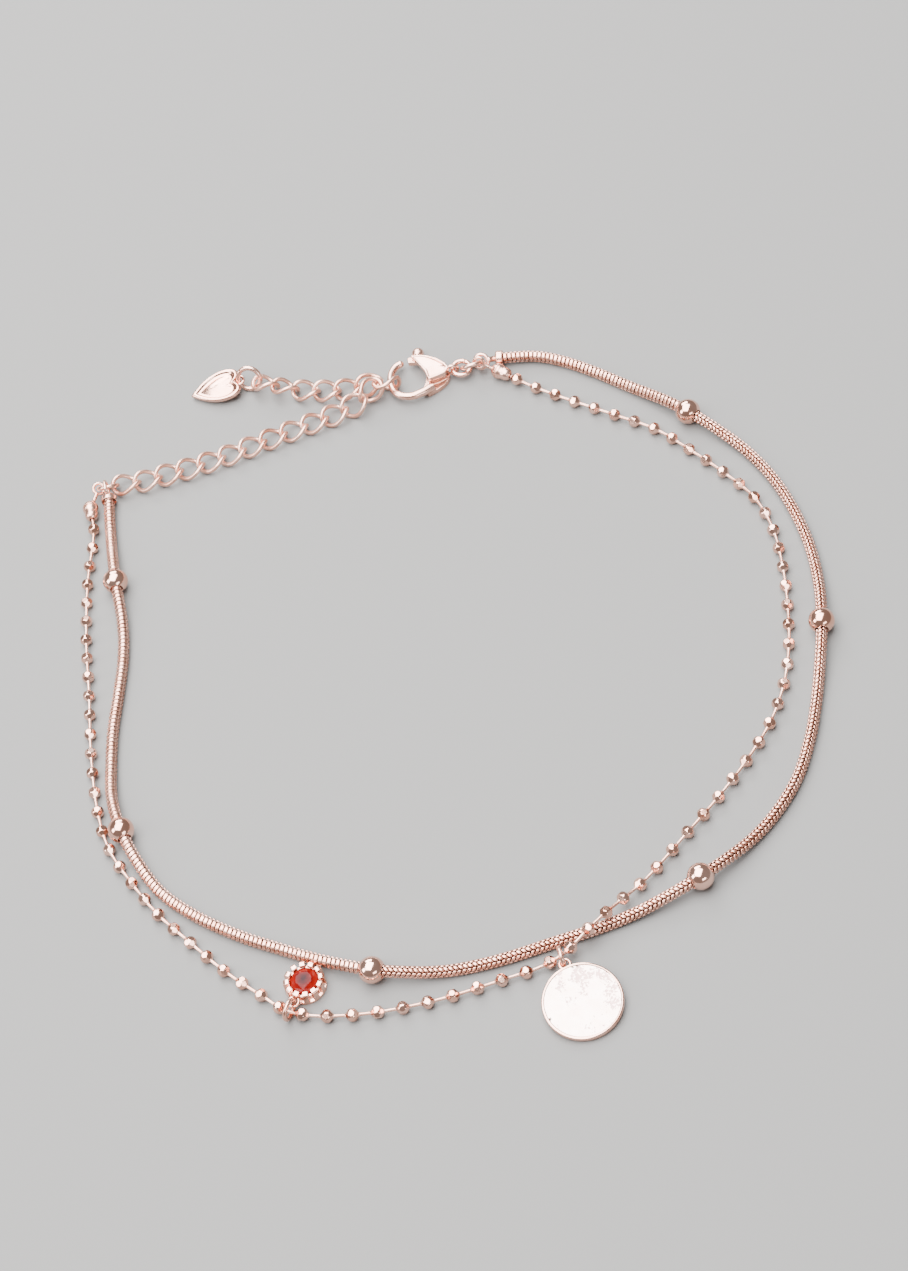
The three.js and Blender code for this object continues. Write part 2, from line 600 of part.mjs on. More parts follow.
const gemRingMiddle = gemMiddle.clone().addScaledVector(gemIn, -gemAway);
gemRingMiddle.setZ(GEM_RING_RADIUS + CHARM_RING_WIRE / 2 + FLOOR_GAP);
uprightRing('gem_jump_ring', gemRingMiddle, gemHang.along, GEM_RING_RADIUS, CHARM_RING_WIRE);

// Snake chain end cap: a cup with a loop, soldered in one piece
function endCap(name, share, direction, loop) {
  const end = snakeLine.getPointAt(share);
  const mouth = end.clone().addScaledVector(direction, CHAIN_END_GAP - CAP_BORE_DEPTH);
  const bore = SNAKE_RADIUS + CAP_BORE_CLEARANCE;
  const cup = turned([
    [0, CAP_BORE_DEPTH], [bore, CAP_BORE_DEPTH], [bore, 0], [CAP_RADIUS, 0],
    [CAP_RADIUS, CAP_LENGTH - CAP_SHOULDER_DEPTH],
    [CAP_RADIUS - CAP_SHOULDER_INSET, CAP_LENGTH], [0, CAP_LENGTH],
  ], TURNED_SIDES);
  const back = mouth.clone().addScaledVector(direction, CAP_LENGTH - CAP_NECK_SINK);
  const middle = vec(loop.place);
  const toCup = back.clone().sub(middle);
  const flat = pointing(loop.facing);
  toCup.addScaledVector(flat, -toCup.dot(flat)).normalize();
  const neckEnd = middle.clone().addScaledVector(toCup, CAP_LOOP_RADIUS);
  const body = solid(cup, aimed(mouth, direction))
    .add(solid(ring(CAP_LOOP_RADIUS, CAP_LOOP_WIRE), faced(middle, flat)))
    .add(rod(back, neckEnd, CAP_NECK_RADIUS))
    .subtract(rod(mouth, mouth.clone().addScaledVector(direction, CAP_BORE_DEPTH), bore,
      TURNED_SIDES));
  anklet.add(named(name, geometryOf(body), metal(paleGold, 0.16)));
}

// Bead tip: two shells round the chain's end and a strap bent into a loop
function beadTip(name, share, direction, loop) {
  const end = ballLine.getPointAt(share);
  const middle = end.clone().addScaledVector(direction, TIP_END_GAP - TIP_BORE_DEPTH + TIP_MOUTH);
  const out = direction.clone().negate();
  const profile = TIP_ROWS.map((latitude) => (
    [TIP_RADIUS * Math.cos(latitude * DEGREE), TIP_RADIUS * Math.sin(latitude * DEGREE)]));
  profile.splice(TIP_ROWS.indexOf(SEAM_LATITUDE), 0,
    [TIP_RADIUS - SEAM_DEPTH, -SEAM_WIDTH / 2], [TIP_RADIUS - SEAM_DEPTH, SEAM_WIDTH / 2]);
  const shells = turned([
    ...profile, [TIP_SHELL_RADIUS, TIP_SHELL_OFFSET],
    [TIP_SHELL_RADIUS * TIP_SHOULDER, TIP_MOUTH - TIP_SHOULDER_DEPTH],
    [TIP_BORE_RADIUS + TIP_LIP_WALL, TIP_MOUTH],
    [TIP_BORE_RADIUS, TIP_MOUTH], [TIP_BORE_RADIUS, TIP_MOUTH - TIP_BORE_DEPTH],
    [0, TIP_MOUTH - TIP_BORE_DEPTH],
  ], TURNED_SIDES);
  const loopMiddle = vec(loop.place);
  const flat = pointing(loop.facing);
  const toBall = middle.clone().sub(loopMiddle);
  toBall.addScaledVector(flat, -toBall.dot(flat)).normalize();
  const strapStart = loopMiddle.clone().addScaledVector(toBall, TIP_LOOP_RADIUS);
  const body = solid(shells, aimed(middle, out))
    .add(rod(strapStart, middle, TIP_STRAP_WIDTH / 2, TIP_STRAP_SIDES))
    .add(solid(ring(TIP_LOOP_RADIUS, TIP_LOOP_WIRE), faced(loopMiddle, flat)));
  anklet.add(named(name, geometryOf(body), metal(paleGold, 0.16)));
}

const rightCapWay = snakeLine.getTangentAt(0).negate();
endCap('snake_end_cap_right', 0, rightCapWay, CAP_LOOP_RIGHT);
const leftCapWay = snakeLine.getTangentAt(1);
endCap('snake_end_cap_left', 1, leftCapWay, CAP_LOOP_LEFT);
const rightTipWay = ballLine.getTangentAt(0).negate();
beadTip('bead_tip_right', 0, rightTipWay, TIP_LOOP_RIGHT);
const leftTipWay = ballLine.getTangentAt(1);
beadTip('bead_tip_left', 1, leftTipWay, TIP_LOOP_LEFT);

// Connecting rings
for (const [name, it] of [['clasp_ring', CLASP_RING], ['junction_ring_right', JUNCTION_RIGHT],
  ['junction_ring_left', JUNCTION_LEFT], ['tag_jump_ring', TAG_RING]]) {
  const shape = ring(it.radius, it.wire).applyMatrix4(faced(vec(it.place), pointing(it.facing)));
  anklet.add(named(name, shape, metal(paleGold, 0.16)));
}

// The run's route, shared out evenly among its links, gives each link its length
const runLine = new THREE.CatmullRomCurve3(EXTENDER_RUN.map(vec));
runLine.arcLengthDivisions = ROUTE_DIVISIONS;
const linkPitch = runLine.getLength() / RUN_LINKS;
const linkHalfLength = (linkPitch + LINK_WIRE + LINK_PLAY) / 2;

// Curb link: an oval of round wire, twisted so that its two ends stand across each other
class CurbLoop extends THREE.Curve {
  getPoint(t, target = new THREE.Vector3()) {
    const angle = 2 * Math.PI * t;
    const across = LINK_HALF_WIDTH * Math.sin(angle);
    const turn = -LINK_TWIST * Math.cos(angle);
    return target.set(linkHalfLength * Math.cos(angle),
      across * Math.cos(turn), across * Math.sin(turn));
  }
}
function curbLink(name, middle, aim, rollDegrees) {
  const shape = new THREE.TubeGeometry(new CurbLoop(), LINK_SEGMENTS, LINK_WIRE / 2,
    LINK_SIDES, true);
  const link = named(name, shape, metal(roseGold, 0.2));
  const along = aim.clone().normalize();
  const side = new THREE.Vector3(0, 0, 1).cross(along).normalize();
  const over = along.clone().cross(side);
  const turn = new THREE.Matrix4().makeBasis(along, side, over);
  link.quaternion.setFromRotationMatrix(turn);
  link.rotateX(rollDegrees * DEGREE);
  link.position.copy(middle);
  anklet.add(link);
}

function linkName(number) {
  return `extender_link_${String(number).padStart(2, '0')}`;
}

// The run: links at equal steps along the route, each lying along the chord under it
for (let i = 0; i < RUN_LINKS; i += 1) {
  const before = runLine.getPointAt(Math.max(0, i - LINK_CHORD / 2) / RUN_LINKS);
  const after = runLine.getPointAt((i + LINK_CHORD / 2) / RUN_LINKS);
  curbLink(linkName(i + 1), runLine.getPointAt(i / RUN_LINKS), after.sub(before),
    RUN_ROLLS[i + 1] ?? 0);
}
LOOSE_LINKS.forEach(({ place, aim, roll }, i) => {
  curbLink(linkName(RUN_LINKS + 1 + i), vec(place), pointing(aim), roll);
});

// The clasp's tables in millimetres
const claspPoint = ([u, v, height = 0]) => (
  [u * CLASP_LENGTH, v * CLASP_LENGTH, height * midHeight]);
const claspOutline = (table) => outline(table.map(claspPoint));
const [pivotX, pivotY] = claspPoint(PIVOT);
const [knobX, knobY] = claspPoint(KNOB);

// Something turned about the lever's own axis
function aboutPivot(radius, height, middle, sides) {
  return solid(new THREE.CylinderGeometry(radius, radius, height, sides),
    aimed(new THREE.Vector3(pivotX, pivotY, middle), new THREE.Vector3(0, 0, 1)));
}

// Clasp body: two plates round a channel wall, the hook, the pivot pin and the end eye
const upperBottom = PLATE_THICKNESS + CHANNEL_HEIGHT;
let claspBody = solid(plate(claspOutline(SHIELD_OUTLINE), upperBottom, PLATE_THICKNESS));
const [faceX, faceY] = claspPoint(FACE_MIDDLE);
const inner = SHIELD_OUTLINE.map(claspPoint).map(([u, v]) => {
  const away = Math.hypot(u - faceX, v - faceY);
  const keep = (away - FACE_RIM) / away;
  return [faceX + (u - faceX) * keep, faceY + (v - faceY) * keep];
});
// The face sinks to a valley that runs towards the eye
const valleyReach = VALLEY_REACH * CLASP_LENGTH;
const valleySection = outline([[-valleyReach, 0], [valleyReach, 0], [0, -FACE_DEPTH]]);
const valley = plate(valleySection, -valleyReach, 2 * valleyReach)
  .rotateX(Math.PI / 2).rotateZ(Math.PI / 2)
  .translate(faceX, faceY, bodyHeight);
const faceOpening = solid(plate(outline(inner), upperBottom, 2 * PLATE_THICKNESS));
claspBody = claspBody.subtract(solid(valley).add(
  solid(plate(outline(inner), bodyHeight, PLATE_THICKNESS))).intersect(faceOpening));
claspBody = claspBody.add(solid(plate(claspOutline(LOWER_OUTLINE), 0, PLATE_THICKNESS)));
claspBody = claspBody.add(solid(plate(claspOutline(WALL_OUTLINE),
  PLATE_THICKNESS - WALL_OVERLAP, CHANNEL_HEIGHT + 2 * WALL_OVERLAP)));
const pinHeight = bodyHeight - FACE_DEPTH;
claspBody = claspBody.add(aboutPivot(PIVOT_RADIUS, pinHeight, pinHeight / 2, RING_SEGMENTS));
const hookLine = new THREE.CatmullRomCurve3(HOOK_ROUTE.map(claspPoint).map(vec));
const hookSection = new THREE.Shape();
hookSection.absarc(0, 0, HOOK_WIRE / 2, 0, 2 * Math.PI, false);
claspBody = claspBody.add(solid(new THREE.ExtrudeGeometry(hookSection, {
  steps: HOOK_STEPS, extrudePath: hookLine, bevelEnabled: false, curveSegments: RING_SIDES })));
claspBody = claspBody.add(solid(ring(EYE_RADIUS, EYE_WIRE, SMALL_RING_SEGMENTS),
  faced(new THREE.Vector3(CLASP_LENGTH, EYE_SIDE_SHIFT, midHeight), new THREE.Vector3(0, 1, 0))));

// Clasp lever: hub, arm and thumb knob, in the channel between the plates
const leverBottom = midHeight - LEVER_THICKNESS / 2;
let lever = solid(plate(claspOutline(LEVER_OUTLINE), leverBottom, LEVER_THICKNESS));
lever = lever.add(aboutPivot(HUB_RADIUS, LEVER_THICKNESS, midHeight, STONE_SIDES));
lever = lever.add(solid(new THREE.SphereGeometry(KNOB_RADIUS, RING_SEGMENTS, RING_SEGMENTS / 2),
  new THREE.Matrix4().compose(new THREE.Vector3(knobX, knobY, leverBottom + KNOB_RISE),
    new THREE.Quaternion(), new THREE.Vector3(1, 1, KNOB_FLATNESS))));
const neckStart = vec(claspPoint(KNOB_NECK_START)).setZ(midHeight);
lever = lever.add(rod(neckStart, new THREE.Vector3(knobX, knobY, midHeight - KNOB_NECK_DROP),
  KNOB_NECK_RADIUS));
lever = lever.subtract(aboutPivot(PIVOT_RADIUS + PIVOT_CLEARANCE, bodyHeight, midHeight,
  RING_SEGMENTS));

const clasp = new THREE.Group();
const claspRun = new THREE.Vector3(CLASP_LENGTH, 0, 0)
  .applyAxisAngle(new THREE.Vector3(0, 0, 1), CLASP_TURN);
clasp.position.copy(vec(CLASP_EYE_AT)).sub(claspRun).setZ(FLOOR_GAP);
clasp.rotation.z = CLASP_TURN;
clasp.add(named('clasp_body', geometryOf(claspBody), metal(paleGold, 0.14)));
clasp.add(named('clasp_lever', geometryOf(lever), metal(paleGold, 0.14)));
anklet.add(clasp);

// Heart tag: a raised rim round a dished face with a puffed middle, and an eye in the notch
function heart(scale) {
  const w = TAG_HALF_WIDTH * scale;
  const l = TAG_LENGTH * scale;
  const shape = new THREE.Shape();
  shape.moveTo(-0.55 * l, 0);
  shape.bezierCurveTo(-0.38 * l, -0.5 * w, -0.12 * l, -1.05 * w, 0.16 * l, -w);
  shape.bezierCurveTo(0.42 * l, -0.96 * w, 0.5 * l, -0.4 * w, 0.3 * l, 0);
  shape.bezierCurveTo(0.5 * l, 0.4 * w, 0.42 * l, 0.96 * w, 0.16 * l, w);
  shape.bezierCurveTo(-0.12 * l, 1.05 * w, -0.38 * l, 0.5 * w, -0.55 * l, 0);
  return shape;
}
let tag = solid(new THREE.ExtrudeGeometry(heart(1), {
  depth: TAG_THICKNESS - 2 * TAG_BEVEL, curveSegments: 4, bevelEnabled: true,
  bevelThickness: TAG_BEVEL, bevelSize: TAG_BEVEL, bevelOffset: -TAG_BEVEL, bevelSegments: 1,
}).translate(0, 0, TAG_BEVEL - TAG_THICKNESS / 2));
const dishFloor = TAG_THICKNESS / 2 - TAG_DISH;
tag = tag.subtract(solid(plate(heart(TAG_FACE_SHARE), dishFloor, TAG_THICKNESS)));
tag = tag.add(solid(new THREE.SphereGeometry(1, SMALL_RING_SEGMENTS, SNAKE_SIDES),
  new THREE.Matrix4().compose(
    new THREE.Vector3(TAG_PUFF_PLACE, 0, dishFloor - TAG_PUFF_SINK), new THREE.Quaternion(),
    new THREE.Vector3(TAG_PUFF_HALF_LENGTH, TAG_PUFF_HALF_WIDTH, TAG_PUFF_HALF_HEIGHT))));
tag = tag.add(solid(ring(TAG_EYE_RADIUS, TAG_EYE_WIRE, SMALL_RING_SEGMENTS),
  new THREE.Matrix4().makeTranslation(TAG_EYE, 0, 0)));
const tagMesh = named('heart_tag', geometryOf(tag), metal(paleGold, 0.12));
tagMesh.position.copy(vec(TAG_PLACE));
tagMesh.rotation.z = TAG_TURN;
tagMesh.rotateY(TAG_PITCH);
tagMesh.rotateX(TAG_ROLL);
anklet.add(tagMesh);

// The origin goes to the middle of the footprint, on the floor
anklet.updateMatrixWorld(true);
const box = new THREE.Box3().setFromObject(anklet, true);
const part = new THREE.Group();
anklet.position.set(-(box.min.x + box.max.x) / 2, -(box.min.y + box.max.y) / 2, -box.min.z);
part.add(anklet);

export default part;
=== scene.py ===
import json
import math

import bmesh
import bpy
import numpy as np
from mathutils import Matrix, Vector


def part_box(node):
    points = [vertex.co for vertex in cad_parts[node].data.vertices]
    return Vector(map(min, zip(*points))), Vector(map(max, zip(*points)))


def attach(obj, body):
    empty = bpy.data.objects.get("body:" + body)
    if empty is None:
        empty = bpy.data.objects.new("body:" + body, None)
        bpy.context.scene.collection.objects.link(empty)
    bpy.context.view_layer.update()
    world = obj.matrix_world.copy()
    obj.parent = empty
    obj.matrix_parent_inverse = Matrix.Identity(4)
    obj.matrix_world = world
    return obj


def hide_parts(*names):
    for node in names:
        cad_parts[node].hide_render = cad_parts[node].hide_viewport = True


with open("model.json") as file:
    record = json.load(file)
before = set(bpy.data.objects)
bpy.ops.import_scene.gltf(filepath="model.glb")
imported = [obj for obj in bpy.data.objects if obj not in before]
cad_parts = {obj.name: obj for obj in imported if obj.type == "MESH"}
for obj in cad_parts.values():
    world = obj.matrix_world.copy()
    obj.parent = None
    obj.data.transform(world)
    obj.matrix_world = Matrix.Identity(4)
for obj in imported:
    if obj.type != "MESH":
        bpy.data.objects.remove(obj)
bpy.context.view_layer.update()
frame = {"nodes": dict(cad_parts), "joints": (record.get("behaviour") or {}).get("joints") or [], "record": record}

MM = 0.001
UP = np.array([0.0, 0.0, 1.0])

# Cosines over which two directions count as one, and distances under which two points do
ALMOST_ALONG = 0.95
ALMOST_UPRIGHT = 0.9
ON_THE_AXIS = 1e-6
SAME_CORNER = 1e-9

# Snake chain: a broad row and four narrow rows of plates. Widths are shares of the way round,
# corners are shares of a plate, and the route's round beads are counted from 0.
SNAKE_RADIUS = 0.65
FLOOR_GAP = 0.01
PLATE_PITCH = 0.5
PLATE_WIDTHS = [0.4, 0.15, 0.15, 0.15, 0.15]
PLATE_CORNERS_ACROSS = [0.0, 0.06, 0.2, 0.5, 0.8, 0.94, 1.0]
PLATE_CORNERS_ONWARD = [0.0, 0.07, 0.2, 0.5, 0.8, 0.93, 1.0]
PLATE_FRONT = [0.0, -0.6, 0.8]
PLATE_SLANT = 0.22
BROAD_SLANT_SHARE = 0.5
PLATE_GAP = 0.22
PLATE_SEAM = 0.02
PLATE_CROWN = 0.06
BROAD_FLATNESS = 0.7
NARROW_FLATNESS = 0.2
BROAD_TAPER = 0.08
NARROW_TAPER = 0.26
TAPER_POWER = 3
PLATE_TILT = 0.03
PLATE_EDGE = 0.04
NARROW_ROWS_FROM_BEAD = 0
NARROW_ROWS_TO_BEAD = 3
TURN_OVER_LENGTH = 1.0
TURN_READINGS_PER_ROW = 4
CORE_RADIUS = 0.46

# Round beads on the snake chain; the outside stops an angle in radians short of the bore
STOPPER_RADIUS = 1.4
STOPPER_BORE = 0.7
STOPPER_BORE_FLARE = 0.03
STOPPER_FLARE_DEPTH = 0.06
STOPPER_EDGE_ANGLE = 0.05
STOPPER_STEPS = 30
STOPPER_LIFT_REACH = 10

# Snake chain's end caps. A rounding row is how far in from the side and down from the closed end,
# and a loop has its middle, then the turn and rise of its axis in degrees.
CAP_RADIUS = 0.88
CAP_LENGTH = 0.85
CAP_ROUNDING = [[0, 0.25], [0.08, 0.1], [0.25, 0]]
CAP_BORE_RADIUS = 0.76
CAP_BORE_DEPTH = 0.55
CAP_BORE_OVERRUN = 0.3
CAP_NECK_RADIUS = 0.34
CAP_NECK_SINK = 0.05
CAP_HEIGHT = 0.9
CHAIN_END_GAP = 0.12
CAP_LOOP_RADIUS = 0.8
CAP_LOOP_WIRE = 0.42
CAP_LOOPS = {
    "snake_end_cap_right": ([13.8, 41.71, 1.22], [-109, 51]),
    "snake_end_cap_left": ([-31.16, 37.9, 1.65], [-2, 2]),
}

# Ball chain. A cut's depth is a share of the radius, a belt of cuts has its latitude in degrees
# and its shift as a share of one cut, and the roll from ball to ball is in radians. A bar leaves
# its ball through a collar: steps along the bar, and swells of its radius.
BALL_RADIUS = 0.67
CUT_BALL_RADIUS = 0.69
BALL_COUNT = 79
CUTS_ROUND = 6
CUT_DEPTH = 0.1
CUT_BELTS = [(0, 0), (48, 0.5), (-48, 0.5)]
BALL_ROLL = 2.4
BAR_RADIUS = 0.175
BAR_START = 0.52
COLLAR_STEPS = np.array([0, 0.1, 0.22, 0.34])
COLLAR_SWELL = [1.5, 1.4, 1.05, 0.95]
END_BAR_RIGHT = 1.52
END_BAR_LEFT = 2.0
CROSSING_REACH = 8
CROSSING_GAP = 0.06
CHARM_BAR_HEIGHT = 0.79
CHARM_LIFT_REACH = 4

# Bead tips. A seam row is a depth and a height, and a shoulder or shell row is a share of the
# radius and a height; the loops are as the caps' ones.
TIP_RADIUS = 0.9
TIP_BACK_LATITUDES = range(-75, -9, 13)
TIP_SEAM = [[0, -0.06], [0.11, -0.05], [0.11, 0.05], [0, 0.06]]
TIP_SHOULDER = [[0.97, 0.22], [0.87, 0.43]]
TIP_SHELL_RADIUS = 0.74
TIP_SHELL = [[1, 0.62], [1, 1.0], [0.92, 1.25], [0.75, 1.46]]
TIP_MOUTH = 1.62
TIP_MOUTH_RADIUS = 0.37
TIP_BORE_RADIUS = 0.27
TIP_BORE_DEPTH = 0.8
TIP_LOOP_RADIUS = 0.62
TIP_LOOP_WIRE = 0.36
TIP_STRAP_WIDTH = 0.42
TIP_STRAP_SHARE = 0.5
TIP_HEIGHT = 0.93
TIP_END_GAP = 0.2
TIP_LOOPS = {
    "bead_tip_right": ([13.49, 41.11, 1.81], [63, -25]),
    "bead_tip_left": ([-32.1, 38.67, 1.06], [114, -61]),
}

# Disc charm. An edge row is how far in from the edge and how far from the front or the back.
DISC_RADIUS = 4.1
DISC_THICKNESS = 0.7
DISC_LIP = 0.3
DISC_DISH = 0.06
DISC_FACE_RINGS = 12
DISC_SIDES = 96
DISC_LIP_STEP = [[0, 0], [0.03, 0.03], [0.08, DISC_DISH]]
DISC_FRONT_EDGE = [[0.14, 0], [0.05, 0.04], [0, 0.14]]
DISC_BACK_EDGE = [[0, 0.14], [0.04, 0.05], [0.14, 0]]
DISC_LUG_SHARE = 0.36
DISC_SHARP_OVER = 28
LUG_HOLE = 0.38
LUG_WIRE = 0.3

# Gem charm. A stone row has its corners' count, their shift round the stone, radius and height.
STONE_RADIUS = 1.5
STONE_TABLE = 0.86
STONE_FACETS = 8
STONE_ROWS = [
    (STONE_FACETS, 0, STONE_TABLE, 1.5), (STONE_FACETS, 0.5, 1.2, 1.33),
    (2 * STONE_FACETS, 0, STONE_RADIUS, 1.13), (2 * STONE_FACETS, 0, STONE_RADIUS, 1.06),
    (STONE_FACETS, 0.5, 0.62, 0.56),
]
STONE_CULET_HEIGHT = 0.3
# The stone's colour is painted: noise breaks up a gradient from a brighter red rim, painted light, to a near-black
# middle, painted shade
STONE_CLOUDINESS = 0.5
STONE_RIM_PAINTED_LIGHT_RED = (0.2, 0.005, 0.002)
STONE_MIDDLE_PAINTED_SHADE_RED = (0.02, 0.001, 0.003)
CLAW_COUNT = 12
CLAW_WIDTH = 0.56
CLAW_OUTLINE = [
    [1.66, 0.12], [2.08, 0.14], [2.13, 0.7], [2.12, 1.3], [2.0, 1.5], [1.72, 1.57], [1.5, 1.54],
    [1.42, 1.42], [1.46, 1.3], [1.58, 1.2], [1.6, 0.8],
]
COLLET_BASE_RADIUS = 2.15
COLLET_PROFILE = [
    [1.05, 0], [COLLET_BASE_RADIUS, 0], [COLLET_BASE_RADIUS + 0.02, 0.08],
    [COLLET_BASE_RADIUS, 0.3], [1.8, 0.38], [1.8, 0.98], [1.47, 0.98], [1.05, 0.45], [1.05, 0],
]
GEM_LUG_HEIGHT = 1.12

# Jump rings: radius of the wire's middle and its thickness; the cut is an angle in radians
CHARM_RING_WIRE = 0.48
RINGS = {
    "clasp_ring": (1.0, 0.56), "junction_ring_right": (1.15, 0.54),
    "junction_ring_left": (1.1, 0.5), "tag_jump_ring": (1.32, 0.56),
    "disc_jump_ring": (0.92, CHARM_RING_WIRE), "gem_jump_ring": (1.0, CHARM_RING_WIRE),
}
RING_CUT_ANGLE = 0.05
RING_CUT_TOWARDS = (0.6, 0.8, -0.3)
RING_END_SHARE = 0.9

# Extender links
LINK_COUNT = 20
LINK_WIRE = 0.48
LINK_HALF_LENGTH = 1.56
LINK_HALF_WIDTH = 1.235
LINK_TWIST = math.pi / 4

# Clasp, in its own frame: +X runs from the middle of the hook's opening to the end eye, and its
# tables hold shares of its length. A third number in a row is a share of its half height.
CLASP_EYE_AT = [10.342, 41.781]
CLASP_TURN = math.radians(-7)
CLASP_LENGTH = 5.08
CAST_OVERLAP = 0.1
PLATE_THICKNESS = 0.6
CHANNEL_HEIGHT = 0.74
BODY_HEIGHT = 2 * PLATE_THICKNESS + CHANNEL_HEIGHT
LEVER_THICKNESS = 0.6
HOOK_WIRE = 0.84
HOOK_ROOT_WIRE = 1.0
HOOK_ROOT_SHARE = 0.3
HOOK_TIP_CUT = 3
HOOK_TIP_BALL = 5
PIVOT = [0.61, 0.148]
PIVOT_RADIUS = 0.26
PIVOT_START = 0.1
PIVOT_CLEARANCE = 0.06
LEVER_BORE_FROM = -1
LEVER_BORE_TO = 3
HUB_RADIUS = 0.62
KNOB = [0.266, 0.738]
KNOB_RADIUS = 0.7
KNOB_FLATNESS = 0.84
KNOB_LIFT = 0.02
KNOB_NECK_START = [0.236, 0.492]
KNOB_NECK_RADIUS = 0.29
KNOB_NECK_DROP = 0.12
FACE_MIDDLE = [0.571, 0.108]
FACE_RIM = 0.3
FACE_DEPTH = 0.34
FACE_FLOOR = 0.05
FACE_CUT_HEIGHT = 1.2
VALLEY_REACH = 2.6
VALLEY_SHOULDER = 0.05
VALLEY_HEIGHT = 1.0
EYE_RADIUS = 0.64
EYE_WIRE = 0.4
EYE_OFFSET = 0.1
SHIELD_OUTLINE = [
    [0.118, 0.492], [0.266, 0.236], [0.384, 0], [0.463, -0.285], [0.689, -0.226],
    [0.846, -0.167], [0.935, -0.039], [0.866, 0.108], [0.689, 0.295], [0.472, 0.423],
    [0.295, 0.482],
]
LOWER_OUTLINE = [
    [0.36, 0.31], [0.4, 0.06], [0.36, -0.177], [0.25, -0.374], [0.394, -0.502], [0.61, -0.413],
    [0.768, -0.315], [0.886, -0.187], [0.935, -0.039], [0.866, 0.108], [0.689, 0.295],
    [0.472, 0.423],
]
WALL_OUTLINE = [
    [0.453, -0.256], [0.689, -0.207], [0.837, -0.148], [0.906, -0.039], [0.846, 0.089],
    [0.778, 0.059], [0.768, -0.039], [0.65, -0.108], [0.433, -0.118],
]
HOOK_ROUTE = [
    [0.531, -0.344, 0.88], [0.276, -0.482, 0.98], [0.02, -0.541, 1], [-0.217, -0.472, 1],
    [-0.364, -0.295, 1], [-0.413, -0.039, 1], [-0.384, 0.197, 1], [-0.266, 0.394, 1],
    [-0.079, 0.492, 1],
]
LEVER_OUTLINE = [
    [0.03, 0.413], [0.217, 0.384], [0.413, 0.236], [0.512, 0.059], [0.669, 0.059],
    [0.719, 0.177], [0.61, 0.315], [0.433, 0.413], [0.236, 0.541], [0.059, 0.567],
    [0.024, 0.541],
]

# Heart tag. Its curves hold shares of its length and half width, from the point to the notch. A
# rim row is a share of the outline and of the half thickness, and a field row ends in a height.
TAG_PLACE = [-16.19, 48.91, 0.94]
TAG_TURN, TAG_PITCH, TAG_ROLL = -3, -8.6, 5
TAG_HALF_WIDTH = 2.1
TAG_LENGTH = 6.2
TAG_THICKNESS = 0.6
TAG_CURVES = [
    [[-0.55, 0], [-0.38, -0.5], [-0.12, -1.05], [0.16, -1]],
    [[0.16, -1], [0.42, -0.96], [0.5, -0.4], [0.3, 0]],
]
TAG_CURVE_STEPS = 16
TAG_MIDDLE = np.array([-0.1, 0.0])
TAG_RIM = [
    (0.93, -1), (0.985, -0.6), (1.0, 0), (0.985, 0.6), (0.93, 0.95), (0.87, 1), (0.81, 0.85),
    (0.76, 0.4),
]
TAG_FIELD = [(0.7, 0.06), (0.62, 0.07), (0.5, 0.15), (0.35, 0.22), (0.18, 0.26)]
TAG_CROWN = 0.27
TAG_EYE = 2.5
TAG_EYE_RADIUS = 0.58
TAG_EYE_WIRE = 0.32

# The strands' routes, as in the part; a true flag marks a round bead
SNAKE_ROUTE = [
    [15.87, 41.75], [20.0, 40.6], [23.0, 38.7], [26.0, 35.9], [29.0, 32.6], [32.0, 29.1],
    [34.2, 26.2, True], [36.6, 22.9], [38.9, 19.2], [40.6, 14.6], [41.5, 9.8], [41.8, 4.5],
    [41.3, -0.8], [40.1, -6.2, True], [38.4, -11.2], [36.8, -15.3], [35.0, -19.3], [32.2, -23.9],
    [28.8, -27.4], [24.8, -30.2], [19.8, -32.5, True], [15.0, -33.8], [9.5, -34.6], [3.5, -34.95],
    [-2.0, -35.2], [-7.5, -34.8], [-11.4, -33.9], [-14.4, -32.8, True], [-18.0, -30.65],
    [-22.4, -27.5], [-26.6, -24.4], [-30.8, -20.5], [-33.8, -16.6], [-35.6, -12.3],
    [-36.6, -8.2, True], [-37.0, -3.6], [-36.5, 0.8], [-35.6, 5.3], [-34.3, 9.8], [-33.1, 14.3],
    [-32.4, 18.8], [-32.2, 24.6, True], [-32.0, 29.0], [-31.7, 33.0], [-31.2, 36.9],
]
BALL_ROUTE = [
    [16.1, 39.1], [17.4, 37.7], [21.0, 34.1], [26.6, 29.0], [30.3, 25.5], [33.1, 21.4],
    [35.8, 17.0], [38.0, 12.5], [38.7, 7.6], [38.3, 2.5], [37.4, -2.5], [36.1, -7.5],
    [34.2, -12.2], [31.6, -16.3], [28.2, -19.9], [24.3, -23.3], [20.1, -26.5], [16.0, -29.6],
    [12.1, -32.3], [7.8, -35.1], [4.2, -36.9], [-2.1, -37.5], [-9.6, -37.7], [-17.3, -36.8],
    [-23.2, -34.7], [-25.8, -31.8], [-29.0, -27.8], [-31.8, -23.5], [-34.6, -19.0],
    [-36.7, -14.3], [-38.3, -9.7], [-38.8, -4.7], [-38.4, 3.0], [-37.5, 10.4], [-36.7, 18.1],
    [-35.4, 25.9], [-33.6, 33.1], [-33.5, 35.2],
]
BEAD_POINTS = [point for point in SNAKE_ROUTE if len(point) > 2]
CROSSING = [8.4, -34.7]
DISC_HANG = [4.1, -37]
GEM_HANG = [-23.6, -34.4]

# The camera, as the photo was taken: focal length in pixels of a 908 x 1271 image
IMAGE_HEIGHT = 1271
FOCAL_PIXELS = 3093.77
SENSOR = 36.0
CAMERA_AT = [2.441, -194.728, 266.49]
CAMERA_DOWN = math.radians(53.037)
CAMERA_ROLL = math.radians(15.4445)

# How fine each casting's mesh is
TIP_DETAIL = 0.035
SETTING_DETAIL = 0.036
FINDING_DETAIL = 0.04
TAG_DETAIL = 0.045

